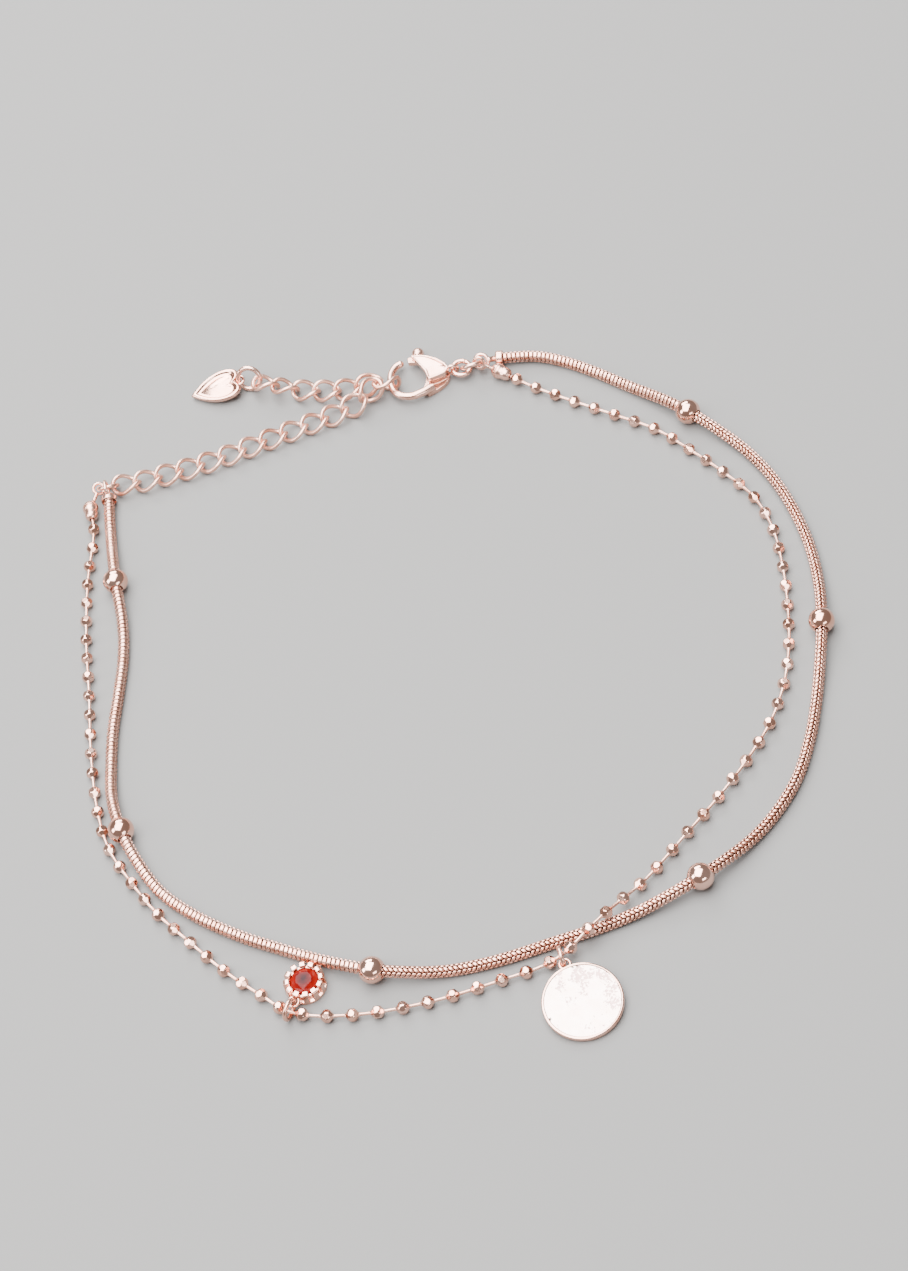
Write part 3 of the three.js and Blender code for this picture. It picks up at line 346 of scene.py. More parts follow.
# The studio, in metres and watts: place, size and power of each light
FLOOR_REACH = 3.0
FLOOR_TONE = (0.165, 0.162, 0.158)
SKY_TONE = (1.0, 0.97, 0.95)
SKY_STRENGTH = 0.34
SOFTBOXES = {
    "key_softbox": ((-0.1, 0.06, 0.55), (0.8, 0.58), 21),
    "back_softbox": ((-0.04, 0.5, 0.34), (0.4, 0.2), 4.5),
    "left_softbox": ((-0.5, -0.05, 0.26), (0.2, 0.24), 2),
    "front_softbox": ((0.2, -0.5, 0.25), (0.3, 0.12), 1),
}


def turned_plan(point, angle):
    x, y = point
    return np.array([x * math.cos(angle) - y * math.sin(angle),
                     x * math.sin(angle) + y * math.cos(angle)])


# The plan's own origin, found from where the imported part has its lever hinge
hinge = np.array(frame["joints"][0]["pos_m"]) / MM
pivot_from_eye = [(PIVOT[0] - 1) * CLASP_LENGTH, PIVOT[1] * CLASP_LENGTH]
pivot_plan = np.array(CLASP_EYE_AT) + turned_plan(pivot_from_eye, CLASP_TURN)
ROW_SHIFT = np.array([hinge[0] - pivot_plan[0], hinge[1] - pivot_plan[1], -FLOOR_GAP])


def in_row(points):
    """Plan points in millimetres as places in the part's frame, in metres."""
    return (np.asarray(points, float) + ROW_SHIFT) * MM


def unit(vector):
    vector = np.asarray(vector, float)
    return vector / np.linalg.norm(vector)


def pointing(turn, rise):
    """The direction at a turn round the plan and a rise above it, in degrees."""
    turn, rise = math.radians(turn), math.radians(rise)
    return np.array([math.cos(rise) * math.cos(turn), math.cos(rise) * math.sin(turn),
                     math.sin(rise)])


def local(place=(0, 0, 0), x_axis=(1, 0, 0), y_axis=(0, 1, 0), z_axis=(0, 0, 1)):
    """A matrix that sets a shape at a place, along three directions."""
    matrix = np.eye(4)
    matrix[:3, 0], matrix[:3, 1], matrix[:3, 2] = x_axis, y_axis, z_axis
    matrix[:3, 3] = place
    return matrix


def placed(origin, *axes):
    """A matrix from millimetres along three directions to metres from an origin."""
    return local(origin, *(np.asarray(axis) * MM for axis in axes))


def standing_on(origin, normal, near=(1.0, 0.0, 0.0)):
    """As placed, with +Z along a normal and +X leaning towards a direction."""
    normal = unit(normal)
    near = np.asarray(near, float)
    if abs(near @ normal) > ALMOST_ALONG:
        near = np.array([0.0, 1.0, 0.0])
    across = unit(near - (near @ normal) * normal)
    return placed(origin, across, np.cross(normal, across), normal)


def row_matrix():
    """From plan millimetres to metres in the part's frame."""
    matrix = np.eye(4) * MM
    matrix[3, 3] = 1
    matrix[:3, 3] = ROW_SHIFT * MM
    return matrix


def node_points(node):
    return np.array([v.co for v in frame["nodes"][node].data.vertices])


def node_axes(node):
    """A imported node's middle and its three main directions, longest first, right-handed."""
    points = np.unique(np.round(node_points(node), decimals=8), axis=0)
    middle = points.mean(0)
    axes = np.linalg.eigh(np.cov((points - middle).T))[1][:, ::-1].T
    axes[2] = np.cross(axes[0], axes[1])
    return middle, axes


# Shapes: each is a list of corners in millimetres and a list of faces

def joined(*shapes):
    corners, faces, count = [], [], 0
    for shape_corners, shape_faces in shapes:
        corners.append(np.asarray(shape_corners, float))
        faces += [[i + count for i in face] for face in shape_faces]
        count += len(shape_corners)
    return np.vstack(corners), faces


def moved(shape, matrix):
    corners, faces = shape
    corners = np.asarray(corners, float)
    return corners @ matrix[:3, :3].T + matrix[:3, 3], faces


def facing(place, normal):
    """A matrix in millimetres that sets a shape at a place, its +Z along a normal."""
    matrix = standing_on(np.zeros(3), normal) / MM
    matrix[:3, 3] = place
    return matrix


def grid_faces(rows, columns, wrap_rows=False, wrap_columns=True):
    faces = []
    for i in range(rows if wrap_rows else rows - 1):
        for j in range(columns if wrap_columns else columns - 1):
            a, b = i * columns + j, i * columns + (j + 1) % columns
            c = ((i + 1) % rows) * columns
            faces.append([a, b, c + (j + 1) % columns, c + j])
    return faces


def turned(profile, sides=48):
    """A profile of [radius, height] turned about +Z; ends on the axis close to a point."""
    corners, faces, rows = [], [], []
    for radius, height in profile:
        if radius < ON_THE_AXIS:
            rows.append([len(corners)] * sides)
            corners.append([0, 0, height])
        else:
            rows.append(list(range(len(corners), len(corners) + sides)))
            for j in range(sides):
                angle = 2 * math.pi * j / sides
                corners.append([radius * math.cos(angle), radius * math.sin(angle), height])
    for low, high in zip(rows, rows[1:]):
        for j in range(sides):
            k = (j + 1) % sides
            face = list(dict.fromkeys([low[j], low[k], high[k], high[j]]))
            if len(face) > 2:
                faces.append(face)
    return np.array(corners), faces


def swept(middle, radii, sides, closed=False):
    """A round section carried along a polyline, with flat ends when it is open."""
    middle = np.asarray(middle, float)
    count = len(middle)
    radii = np.broadcast_to(radii, (count,))
    if closed:
        ahead = np.roll(middle, -1, 0) - np.roll(middle, 1, 0)
    else:
        ahead = np.gradient(middle, axis=0)
    ahead /= np.linalg.norm(ahead, axis=1)[:, None]
    side = np.cross(ahead[0], UP if abs(ahead[0] @ UP) < ALMOST_UPRIGHT else [1.0, 0, 0])
    sides_along = []
    for direction in ahead:
        side = side - (side @ direction) * direction
        side = side / np.linalg.norm(side)
        sides_along.append(side)
    sides_along = np.array(sides_along)
    over = np.cross(sides_along, ahead)
    if closed:
        first = sides_along[0]
        last = sides_along[-1] - (sides_along[-1] @ ahead[0]) * ahead[0]
        slip = math.atan2(last @ over[0], last @ first)
        turn = np.linspace(0, slip, count)[:, None]
        sides_along, over = (sides_along * np.cos(turn) - over * np.sin(turn),
                             sides_along * np.sin(turn) + over * np.cos(turn))
    angles = 2 * math.pi * np.arange(sides) / sides
    ring = (np.cos(angles)[None, :, None] * sides_along[:, None, :]
            + np.sin(angles)[None, :, None] * over[:, None, :])
    corners = (middle[:, None, :] + radii[:, None, None] * ring).reshape(-1, 3)
    faces = grid_faces(count, sides, wrap_rows=closed)
    if not closed:
        faces += [list(range(sides))[::-1], list(range((count - 1) * sides, count * sides))]
    return corners, faces


def round_ring(radius, wire, segments=64, sides=16):
    angles = 2 * math.pi * np.arange(segments) / segments
    middle = np.stack([radius * np.cos(angles), radius * np.sin(angles), 0 * angles], 1)
    return swept(middle, wire / 2, sides, closed=True)


def cut_ring(radius, wire, gap, segments=72, sides=16):
    """A bent wire ring whose two flat ends meet at a fine cut."""
    angles = np.linspace(gap / 2, 2 * math.pi - gap / 2, segments)
    middle = np.stack([radius * np.cos(angles), radius * np.sin(angles), 0 * angles], 1)
    radii = np.full(segments, wire / 2)
    radii[0] = radii[-1] = wire / 2 * RING_END_SHARE
    return swept(middle, radii, sides)


def ball(radius, place=(0, 0, 0), flat=1.0, columns=32, rows=16):
    angles = [math.pi * i / rows for i in range(rows + 1)]
    profile = [[radius * math.sin(a), -flat * radius * math.cos(a)] for a in angles]
    profile[0][0] = profile[-1][0] = 0
    corners, faces = turned(profile, columns)
    return corners + np.asarray(place, float), faces


def stick(start, end, radius, sides=24):
    return swept(np.linspace(start, end, 2), radius, sides)


def plate(outline, bottom, thickness):
    """A flat sheet of metal cut to an outline."""
    outline = np.asarray(outline, float)
    count = len(outline)
    low = np.column_stack([outline, np.full(count, bottom)])
    high = np.column_stack([outline, np.full(count, bottom + thickness)])
    faces = [list(range(count))[::-1], list(range(count, 2 * count))]
    faces += [[i, (i + 1) % count, count + (i + 1) % count, count + i] for i in range(count)]
    return np.vstack([low, high]), faces


def curve_through(points, closed=False, per_span=24):
    """The centripetal curve through a list of points, as a fine polyline."""
    points = np.asarray(points, float)
    if closed:
        padded = np.vstack([points[-1], points, points[0], points[1]])
    else:
        padded = np.vstack([2 * points[0] - points[1], points, 2 * points[-1] - points[-2]])
    run = []
    steps = np.arange(per_span)[:, None] / per_span
    for p0, p1, p2, p3 in zip(padded, padded[1:], padded[2:], padded[3:]):
        d0, d1, d2 = (math.sqrt(np.linalg.norm(b - a)) for a, b in ((p0, p1), (p1, p2), (p2, p3)))
        leave = ((p1 - p0) / d0 - (p2 - p0) / (d0 + d1) + (p2 - p1) / d1) * d1
        arrive = ((p2 - p1) / d1 - (p3 - p1) / (d1 + d2) + (p3 - p2) / d2) * d1
        run.append(p1 + leave * steps + (3 * (p2 - p1) - 2 * leave - arrive) * steps ** 2
                   + (2 * (p1 - p2) + leave + arrive) * steps ** 3)
    if not closed:
        run.append(points[-1:])
    return np.vstack(run)


class Strand:
    """A strand's centre line, raised smoothly where it passes over something."""

    def __init__(self, route, rest, lifts):
        run = curve_through([[x, y, 0.0] for x, y, *_ in route])
        for point in run:
            point[2] = rest
            for at, height, reach in lifts:
                away = math.dist(point[:2], at[:2])
                if away < reach:
                    share = math.cos(math.pi / 2 * away / reach) ** 2
                    point[2] = max(point[2], rest + (height - rest) * share)
        self.run = run
        self.along = np.concatenate([[0], np.cumsum(np.linalg.norm(np.diff(run, axis=0), axis=1))])
        self.length = self.along[-1]

    def at(self, distance):
        return np.array([np.interp(distance, self.along, self.run[:, k]) for k in range(3)]).T

    def ahead(self, distance, reach=0.15):
        low = np.clip(np.asarray(distance, float) - reach, 0, self.length)
        high = np.clip(np.asarray(distance, float) + reach, 0, self.length)
        way = self.at(high) - self.at(low)
        return way / np.linalg.norm(way, axis=-1, keepdims=True)

    def frames(self, distance):
        """Places, directions ahead, sideways and over, at distances along the strand."""
        ahead = self.ahead(distance)
        side = np.cross(ahead, UP)
        side /= np.linalg.norm(side, axis=-1, keepdims=True)
        return self.at(distance), ahead, side, np.cross(side, ahead)

    def nearest(self, place):
        away = np.hypot(self.run[:, 0] - place[0], self.run[:, 1] - place[1])
        return self.along[int(np.argmin(away))]


# Making objects

def mesh_of(name, shape, materials, smooth=True, sharp_over=None, marks=None):
    """A mesh from a shape; marks say each face's material, and sharp_over is in degrees."""
    corners, faces = shape
    mesh = bpy.data.meshes.new(name)
    mesh.from_pydata([tuple(c) for c in corners], [], [tuple(f) for f in faces])
    for material in materials:
        mesh.materials.append(material)
    if marks is not None:
        mesh.polygons.foreach_set("material_index", np.asarray(marks, np.int32))
    mesh.polygons.foreach_set("use_smooth", np.full(len(mesh.polygons), smooth))
    if sharp_over is not None:
        mesh.set_sharp_from_angle(angle=math.radians(sharp_over))
    mesh.update()
    return mesh


def facing_out(mesh):
    """Welds corners that meet and turns the mesh's faces outwards."""
    work = bmesh.new()
    work.from_mesh(mesh)
    bmesh.ops.remove_doubles(work, verts=work.verts, dist=SAME_CORNER)
    bmesh.ops.recalc_face_normals(work, faces=work.faces)
    work.to_mesh(mesh)
    work.free()


def in_scene(name, data):
    item = bpy.data.objects.new(name, data)
    bpy.context.scene.collection.objects.link(item)
    return item


def closed_object(name, shape):
    item = in_scene(name, mesh_of(name, shape, []))
    facing_out(item.data)
    return item


def with_modifiers(item):
    """An object's mesh once its modifiers have done their work."""
    bpy.context.view_layer.update()
    graph = bpy.context.evaluated_depsgraph_get()
    return bpy.data.meshes.new_from_object(item.evaluated_get(graph))


def piece(mesh, node, body="anklet"):
    """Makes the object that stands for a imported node."""
    shown = in_scene(mesh.name, mesh)
    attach(shown, body)
    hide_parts(node)


def melt(item, detail):
    """Gives an object one closed skin, as fine as the detail."""
    step = item.modifiers.new("melt", "REMESH")
    step.mode, step.voxel_size = "VOXEL", detail


def crossed(first, second):
    """The part that two closed shapes share."""
    one, other = closed_object("one", first), closed_object("other", second)
    share = one.modifiers.new("share", "BOOLEAN")
    share.operation, share.solver, share.object = "INTERSECT", "EXACT", other
    mesh = with_modifiers(one)
    for leftover in (one, other):
        bpy.data.objects.remove(leftover)
    return [list(v.co) for v in mesh.vertices], [list(p.vertices) for p in mesh.polygons]


def worked(shape, detail, cuts=(), smoothing=3):
    """One cast body, in millimetres: shapes run together, cut, and softened at their edges."""
    holder = closed_object("casting", shape)
    tools = [closed_object("cutter", cut) for cut in cuts]
    melt(holder, detail)
    for tool in tools:
        trim = holder.modifiers.new("trim", "BOOLEAN")
        trim.operation, trim.solver, trim.object = "DIFFERENCE", "EXACT", tool
    if cuts:
        melt(holder, detail)
    polish = holder.modifiers.new("polish", "SMOOTH")
    polish.factor, polish.iterations = 0.5, smoothing
    mesh = with_modifiers(holder)
    for leftover in [holder, *tools]:
        bpy.data.objects.remove(leftover)
    return mesh


def settle(mesh, matrix, name, material):
    """Takes a casting to its place in the part's frame."""
    mesh.name = name
    mesh.transform(Matrix(matrix.tolist()))
    mesh.materials.clear()
    mesh.materials.append(material)
    mesh.polygons.foreach_set("use_smooth", np.full(len(mesh.polygons), True))
    mesh.update()
    return mesh


# Finishes

def new_group(name, inputs, outputs):
    group = bpy.data.node_groups.new(name, "ShaderNodeTree")
    for label, kind, value in inputs:
        socket = group.interface.new_socket(label, in_out="INPUT", socket_type=kind)
        socket.default_value = value
    for label, kind in outputs:
        group.interface.new_socket(label, in_out="OUTPUT", socket_type=kind)
    return group, group.nodes.new("NodeGroupInput"), group.nodes.new("NodeGroupOutput")


def add(tree, kind, **settings):
    node = tree.nodes.new(kind)
    for key, value in settings.items():
        if key in node.inputs:
            node.inputs[key].default_value = value
        else:
            setattr(node, key, value)
    return node


def fill(node, values):
    """Sets a node's sockets by their names."""
    for label, value in values.items():
        node.inputs[label].default_value = value


def wire(tree, *runs):
    """Links sockets; a run is a node, its output, the next node and its input."""
    for giver, outlet, taker, inlet in runs:
        tree.links.new(giver.outputs[outlet], taker.inputs[inlet])


def hue(red, green, blue):
    return (red, green, blue, 1.0)


def make_handled_gold():
    """Worn rose gold: soft tone drift, fine rub marks and a roughness that follows them."""
    group, given, out = new_group("handled_gold", [
        ("Bright Tone", "NodeSocketColor", hue(0.9, 0.62, 0.5)),
        ("Deep Tone", "NodeSocketColor", hue(0.72, 0.42, 0.31)),
        ("Tone Size", "NodeSocketFloat", 350.0),
        ("Rub Size", "NodeSocketFloat", 5200.0),
        ("Polish", "NodeSocketFloat", 0.08),
        ("Rub Depth", "NodeSocketFloat", 0.12),
    ], [("Tone", "NodeSocketColor"), ("Roughness", "NodeSocketFloat"),
        ("Relief", "NodeSocketFloat")])
    where = add(group, "ShaderNodeTexCoord")
    drift = add(group, "ShaderNodeTexNoise", Detail=3.0, Roughness=0.55)
    spread = add(group, "ShaderNodeMapRange")
    fill(spread, {"From Min": 0.35, "From Max": 0.65})
    blend = add(group, "ShaderNodeMix", data_type="RGBA")
    stretch = add(group, "ShaderNodeMapping", Scale=(1.0, 0.18, 1.0), Rotation=(0.2, 0.1, 0.7))
    rubs = add(group, "ShaderNodeTexNoise", Detail=6.0, Roughness=0.7)
    rough = add(group, "ShaderNodeMath", operation="MULTIPLY_ADD")
    wire(group,
         (where, "Object", drift, "Vector"), (given, "Tone Size", drift, "Scale"),
         (drift, "Fac", spread, "Value"), (spread, "Result", blend, "Factor"),
         (given, "Deep Tone", blend, "A"), (given, "Bright Tone", blend, "B"),
         (blend, "Result", out, "Tone"),
         (where, "Object", stretch, "Vector"), (stretch, "Vector", rubs, "Vector"),
         (given, "Rub Size", rubs, "Scale"), (rubs, "Fac", rough, 0),
         (given, "Rub Depth", rough, 1), (given, "Polish", rough, 2),
         (rough, "Value", out, "Roughness"), (rubs, "Fac", out, "Relief"))
    return group


HANDLED_GOLD = make_handled_gold()


def gold(name, bright, deep, polish, rub_depth, relief, tone_size=350.0, rub_size=5200.0):
    """A metal with the handled gold's tone, roughness and fine relief."""
    metal = bpy.data.materials.new(name)
    metal.use_nodes = True
    tree = metal.node_tree
    shader = tree.nodes["Principled BSDF"]
    shader.inputs["Metallic"].default_value = 1.0
    worn = add(tree, "ShaderNodeGroup")
    worn.node_tree = HANDLED_GOLD
    fill(worn, {"Bright Tone": hue(*bright), "Deep Tone": hue(*deep), "Tone Size": tone_size,
                "Rub Size": rub_size, "Polish": polish, "Rub Depth": rub_depth})
    bump = add(tree, "ShaderNodeBump", Strength=relief, Distance=0.00002)
    wire(tree,
         (worn, "Tone", shader, "Base Color"), (worn, "Roughness", shader, "Roughness"),
         (worn, "Relief", bump, "Height"), (bump, "Normal", shader, "Normal"))
    return metal


BRIGHT_ROSE = (0.92, 0.57, 0.46)
DEEP_ROSE = (0.78, 0.41, 0.3)

# Each metal: its bright and its deep tone, then its polish, rub depth and relief
plate_gold = gold("snake_plate_gold", (0.88, 0.5, 0.39), (0.72, 0.35, 0.25), 0.2, 0.14, 0.25,
                  tone_size=900.0)
# The snake chain's core: near-black painted shade for the gaps between the plates
crevice_shade_gold = gold("snake_crevice_painted_shade", (0.07, 0.022, 0.012), (0.04, 0.012, 0.007),
                    0.5, 0.2, 0.3)
cut_gold = gold("cut_ball_gold", BRIGHT_ROSE, DEEP_ROSE, 0.08, 0.08, 0.04)
bead_gold = gold("round_bead_gold", BRIGHT_ROSE, DEEP_ROSE, 0.08, 0.08, 0.02)
finding_gold = gold("finding_gold", BRIGHT_ROSE, DEEP_ROSE, 0.2, 0.12, 0.15)
link_gold = gold("link_gold", (0.9, 0.56, 0.45), DEEP_ROSE, 0.28, 0.14, 0.2)
tag_gold = gold("tag_gold", BRIGHT_ROSE, DEEP_ROSE, 0.1, 0.08, 0.15)
setting_gold = gold("setting_gold", BRIGHT_ROSE, DEEP_ROSE, 0.12, 0.1, 0.15)
rim_gold = gold("disc_rim_gold", BRIGHT_ROSE, DEEP_ROSE, 0.08, 0.08, 0.12)
satin_gold = gold("disc_satin_gold", (0.98, 0.8, 0.73), (0.93, 0.7, 0.62), 0.2, 0.2, 0.5,
                  tone_size=800.0, rub_size=9000.0)


def mark_lightly(metal, mark_tone):
    """Small clustered pits in a metal's face, a little darker than the rest."""
    tree = metal.node_tree
    shader = tree.nodes["Principled BSDF"]
    where = add(tree, "ShaderNodeTexCoord")
    pits = add(tree, "ShaderNodeTexNoise", Scale=4200.0, Detail=3.0)
    clusters = add(tree, "ShaderNodeTexNoise", Scale=650.0, Detail=1.0)
    both = add(tree, "ShaderNodeMath", operation="MULTIPLY")
    mask = add(tree, "ShaderNodeMapRange")
    fill(mask, {"From Min": 0.275, "From Max": 0.33})
    tint = add(tree, "ShaderNodeMix", data_type="RGBA")
    fill(tint, {"B": hue(*mark_tone)})
    relief = add(tree, "ShaderNodeMath", operation="SUBTRACT")
    bump = next(node for node in tree.nodes if node.bl_idname == "ShaderNodeBump")
    worn = next(node for node in tree.nodes if node.bl_idname == "ShaderNodeGroup")
    wire(tree,
         (where, "Object", pits, "Vector"), (where, "Object", clusters, "Vector"),
         (pits, "Fac", both, 0), (clusters, "Fac", both, 1), (both, "Value", mask, "Value"),
         (mask, "Result", tint, "Factor"), (worn, "Tone", tint, "A"),
         (tint, "Result", shader, "Base Color"),
         (worn, "Relief", relief, 0), (mask, "Result", relief, 1),
         (relief, "Value", bump, "Height"))


mark_lightly(satin_gold, (0.5, 0.32, 0.3))


def make_red_stone():
    """A cut stone, painted with shade deep in the middle and painted light towards its rim."""
    stone = bpy.data.materials.new("red_stone")
    stone.use_nodes = True
    tree = stone.node_tree
    shader = tree.nodes["Principled BSDF"]
    fill(shader, {"Roughness": 0.03, "IOR": 1.6, "Specular IOR Level": 0.04,
                  "Transmission Weight": 0.1})
    low, high = (np.array(corner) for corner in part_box("gem_stone"))
    middle, reach = (low + high) / 2, (high[0] - low[0]) / 2
    where = add(tree, "ShaderNodeTexCoord")
    centred = add(tree, "ShaderNodeMapping", vector_type="TEXTURE", Location=middle,
                  Scale=(reach, reach, reach))
    painted_shade_gradient = add(tree, "ShaderNodeTexGradient", gradient_type="SPHERICAL")
    clouds = add(tree, "ShaderNodeTexNoise", Scale=1400.0, Detail=2.0)
    depth = add(tree, "ShaderNodeMath", operation="MULTIPLY_ADD")
    depth.inputs[1].default_value = STONE_CLOUDINESS
    shade = add(tree, "ShaderNodeValToRGB")
    # Painted light at the rim, painted shade in the middle
    rim, deep = shade.color_ramp.elements
    rim.position, rim.color = 0.3, hue(*STONE_RIM_PAINTED_LIGHT_RED)
    deep.position, deep.color = 0.85, hue(*STONE_MIDDLE_PAINTED_SHADE_RED)
    wire(tree,
         (where, "Object", centred, "Vector"), (centred, "Vector", painted_shade_gradient, "Vector"),
         (where, "Object", clouds, "Vector"), (clouds, "Fac", depth, 0), (painted_shade_gradient, "Fac", depth, 2),
         (depth, "Value", shade, "Fac"), (shade, "Color", shader, "Base Color"))
    return stone


red_stone = make_red_stone()

# The strands' centre lines
snake = Strand(SNAKE_ROUTE, SNAKE_RADIUS + FLOOR_GAP, [
    *[(point, STOPPER_RADIUS + FLOOR_GAP, STOPPER_LIFT_REACH) for point in BEAD_POINTS],
    (SNAKE_ROUTE[0], CAP_HEIGHT, STOPPER_LIFT_REACH),
    (SNAKE_ROUTE[-1], CAP_HEIGHT, STOPPER_LIFT_REACH),
])
crossing_height = 2 * (SNAKE_RADIUS + FLOOR_GAP) + CROSSING_GAP + BALL_RADIUS
balls = Strand(BALL_ROUTE, BALL_RADIUS, [
    (CROSSING, crossing_height, CROSSING_REACH),
    (DISC_HANG, CHARM_BAR_HEIGHT, CHARM_LIFT_REACH),
    (GEM_HANG, CHARM_BAR_HEIGHT, CHARM_LIFT_REACH),
    (BALL_ROUTE[0], TIP_HEIGHT, CHARM_LIFT_REACH),
    (BALL_ROUTE[-1], TIP_HEIGHT, CHARM_LIFT_REACH),
])


def plate_turn(distance):
    """Angle round the chain of its broad row: forward, or behind between two of the beads."""
    _, _, side, over = snake.frames(distance)
    forward = np.unwrap(np.arctan2(over @ PLATE_FRONT, side @ PLATE_FRONT))
    first, last = (snake.nearest(BEAD_POINTS[number])
                   for number in (NARROW_ROWS_FROM_BEAD, NARROW_ROWS_TO_BEAD))
    half = TURN_OVER_LENGTH / 2
    stations = [first - half, first + half, last - half, last + half]
    return forward + np.interp(distance, stations, [0, math.pi, math.pi, 2 * math.pi])


def make_snake_chain():
    """One broad row and four narrow rows of slanted, domed plates, lapped like scales, round a
    core painted near-black as the shade seen between the plates."""
    rows = int(snake.length / PLATE_PITCH)
    pitch = snake.length / rows
    across, onward = np.meshgrid(PLATE_CORNERS_ACROSS, PLATE_CORNERS_ONWARD)
    cell_faces = grid_faces(*across.shape, wrap_columns=False)
    edge = (across % 1 == 0) | (onward % 1 == 0)
    lapped = PLATE_TILT * (onward - 0.5) - np.where(edge, PLATE_EDGE, 0)
    stations = np.linspace(0, snake.length, TURN_READINGS_PER_ROW * rows)
    turns = plate_turn(stations)
    starts = np.cumsum([0, *PLATE_WIDTHS]) - PLATE_WIDTHS[0] / 2
    all_corners, all_faces = [], []
    for column, width in enumerate(PLATE_WIDTHS):
        odd = column % 2
        slant = PLATE_SLANT * (1 if odd else -1) * (1 if column else BROAD_SLANT_SHARE)
        flatness = NARROW_FLATNESS if column else BROAD_FLATNESS
        dome = np.sin(math.pi * onward) * (1 - flatness) + flatness
        rise = PLATE_CROWN * (np.minimum(np.sin(math.pi * across), dome) - 1) + lapped
        taper = NARROW_TAPER if column else BROAD_TAPER
        breadth = (width - PLATE_SEAM) * (1 - taper * np.abs(2 * onward - 1) ** TAPER_POWER)
        share = (starts[column] + width / 2 + breadth * (across - 0.5)).ravel()
        for row in range(rows):
            reach = row + odd / 2 + PLATE_GAP / 2 + (1 - PLATE_GAP) * onward
            distance = np.clip(reach * pitch + slant * (across - 0.5), 0, snake.length).ravel()
            angle = (2 * math.pi * share + np.interp(distance, stations, turns))[:, None]
            place, _, side, over = snake.frames(distance)
            radius = (SNAKE_RADIUS + rise).ravel()[:, None]
            base = len(all_corners) * across.size
            all_corners.append(place + radius * (np.cos(angle) * side + np.sin(angle) * over))
            all_faces += [[base + i for i in face] for face in cell_faces]
    plates = (np.vstack(all_corners), all_faces)
    # The core is painted near-black as shade between the plates
    core = swept(snake.at(np.linspace(0, snake.length, rows)), CORE_RADIUS, sides=12)
    shape = joined(plates, core)
    marks = [0] * len(plates[1]) + [1] * len(core[1])
    mesh = mesh_of("snake_chain_plates", (in_row(shape[0]), shape[1]),
                   [plate_gold, crevice_shade_gold], marks=marks)
    piece(mesh, "snake_chain")


make_snake_chain()


def make_round_beads():
    """A polished ball on each bead's place, turned with its bore."""
    wide = math.asin(STOPPER_BORE / STOPPER_RADIUS)
    steps = np.linspace(wide + STOPPER_EDGE_ANGLE, math.pi - wide - STOPPER_EDGE_ANGLE,
                        STOPPER_STEPS)
    outside = [[STOPPER_RADIUS * math.sin(a), -STOPPER_RADIUS * math.cos(a)] for a in steps]
    half = STOPPER_RADIUS * math.cos(wide)
    flare = STOPPER_BORE + STOPPER_BORE_FLARE
    inside = half - STOPPER_FLARE_DEPTH
    profile = [*outside, [flare, half], [STOPPER_BORE, inside], [STOPPER_BORE, -inside],
               [flare, -half], outside[0]]
    for number, point in enumerate(BEAD_POINTS, 1):
        place, ahead, side, _ = snake.frames(snake.nearest(point))
        matrix = placed(in_row(place), side, np.cross(ahead, side), ahead)
        mesh = mesh_of(f"round_bead_{number}", moved(turned(profile, sides=56), matrix),
                       [bead_gold])
        facing_out(mesh)
        piece(mesh, f"stopper_bead_{number}")


make_round_beads()


def cut_ball():
    """A round ball planed by a belt of flat cuts and a ring of cuts towards each end."""
    work = bmesh.new()
    bmesh.ops.create_icosphere(work, subdivisions=3, radius=CUT_BALL_RADIUS)
    for latitude, offset in CUT_BELTS:
        for number in range(CUTS_ROUND):
            normal = Vector(pointing(360 * (number + offset) / CUTS_ROUND, latitude))
            geometry = [*work.verts, *work.edges, *work.faces]
            cut = bmesh.ops.bisect_plane(work, geom=geometry, plane_no=normal, clear_outer=True,
                                         plane_co=normal * CUT_BALL_RADIUS * (1 - CUT_DEPTH))
            rim = [e for e in cut["geom_cut"] if isinstance(e, bmesh.types.BMEdge)]
            bmesh.ops.contextual_create(work, geom=rim)
    bmesh.ops.recalc_face_normals(work, faces=work.faces)
    work.verts.index_update()
    shape = ([list(v.co) for v in work.verts], [[v.index for v in f.verts] for f in work.faces])
    work.free()
    return shape


def make_ball_chain():
    """The cut balls, and the bars that leave each of them through a small collar."""
    pitch = (balls.length - END_BAR_RIGHT - END_BAR_LEFT) / (BALL_COUNT - 1)
    shapes, marks = [], []
    cut = cut_ball()
    for number in range(BALL_COUNT):
        place, ahead, side, over = balls.frames(END_BAR_RIGHT + number * pitch)
        roll = BALL_ROLL * number
        right = math.cos(roll) * side + math.sin(roll) * over
        shapes.append(moved(cut, local(place, right, np.cross(ahead, right), ahead)))
        marks += [0] * len(cut[1])
    for number in range(BALL_COUNT + 1):
        middle = END_BAR_RIGHT + number * pitch
        start = middle - pitch + BAR_START if number else 0.0
        end = middle - BAR_START if number < BALL_COUNT else balls.length
        steps = np.concatenate([start + COLLAR_STEPS, end - COLLAR_STEPS[::-1]])
        radii = BAR_RADIUS * np.array([*COLLAR_SWELL, *COLLAR_SWELL[::-1]])
        if not number:
            radii[:2] = BAR_RADIUS
        if number == BALL_COUNT:
            radii[-2:] = BAR_RADIUS
        bar = swept(balls.at(steps), radii, sides=10)
        shapes.append(bar)
        marks += [1] * len(bar[1])
    shape = joined(*shapes)
    mesh = mesh_of("cut_ball_chain", (in_row(shape[0]), shape[1]), [cut_gold, link_gold],
                   marks=marks, sharp_over=13)
    piece(mesh, "ball_chain")


make_ball_chain()


def make_rings():
    """Jump rings of bent wire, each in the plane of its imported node."""
    for node, (radius, wire) in RINGS.items():
        middle, axes = node_axes(node)
        matrix = standing_on(middle, axes[2], near=RING_CUT_TOWARDS)
        mesh = mesh_of(f"{node}_wire", moved(cut_ring(radius, wire, RING_CUT_ANGLE), matrix),
                       [finding_gold], sharp_over=60)
        facing_out(mesh)
        piece(mesh, node)


make_rings()


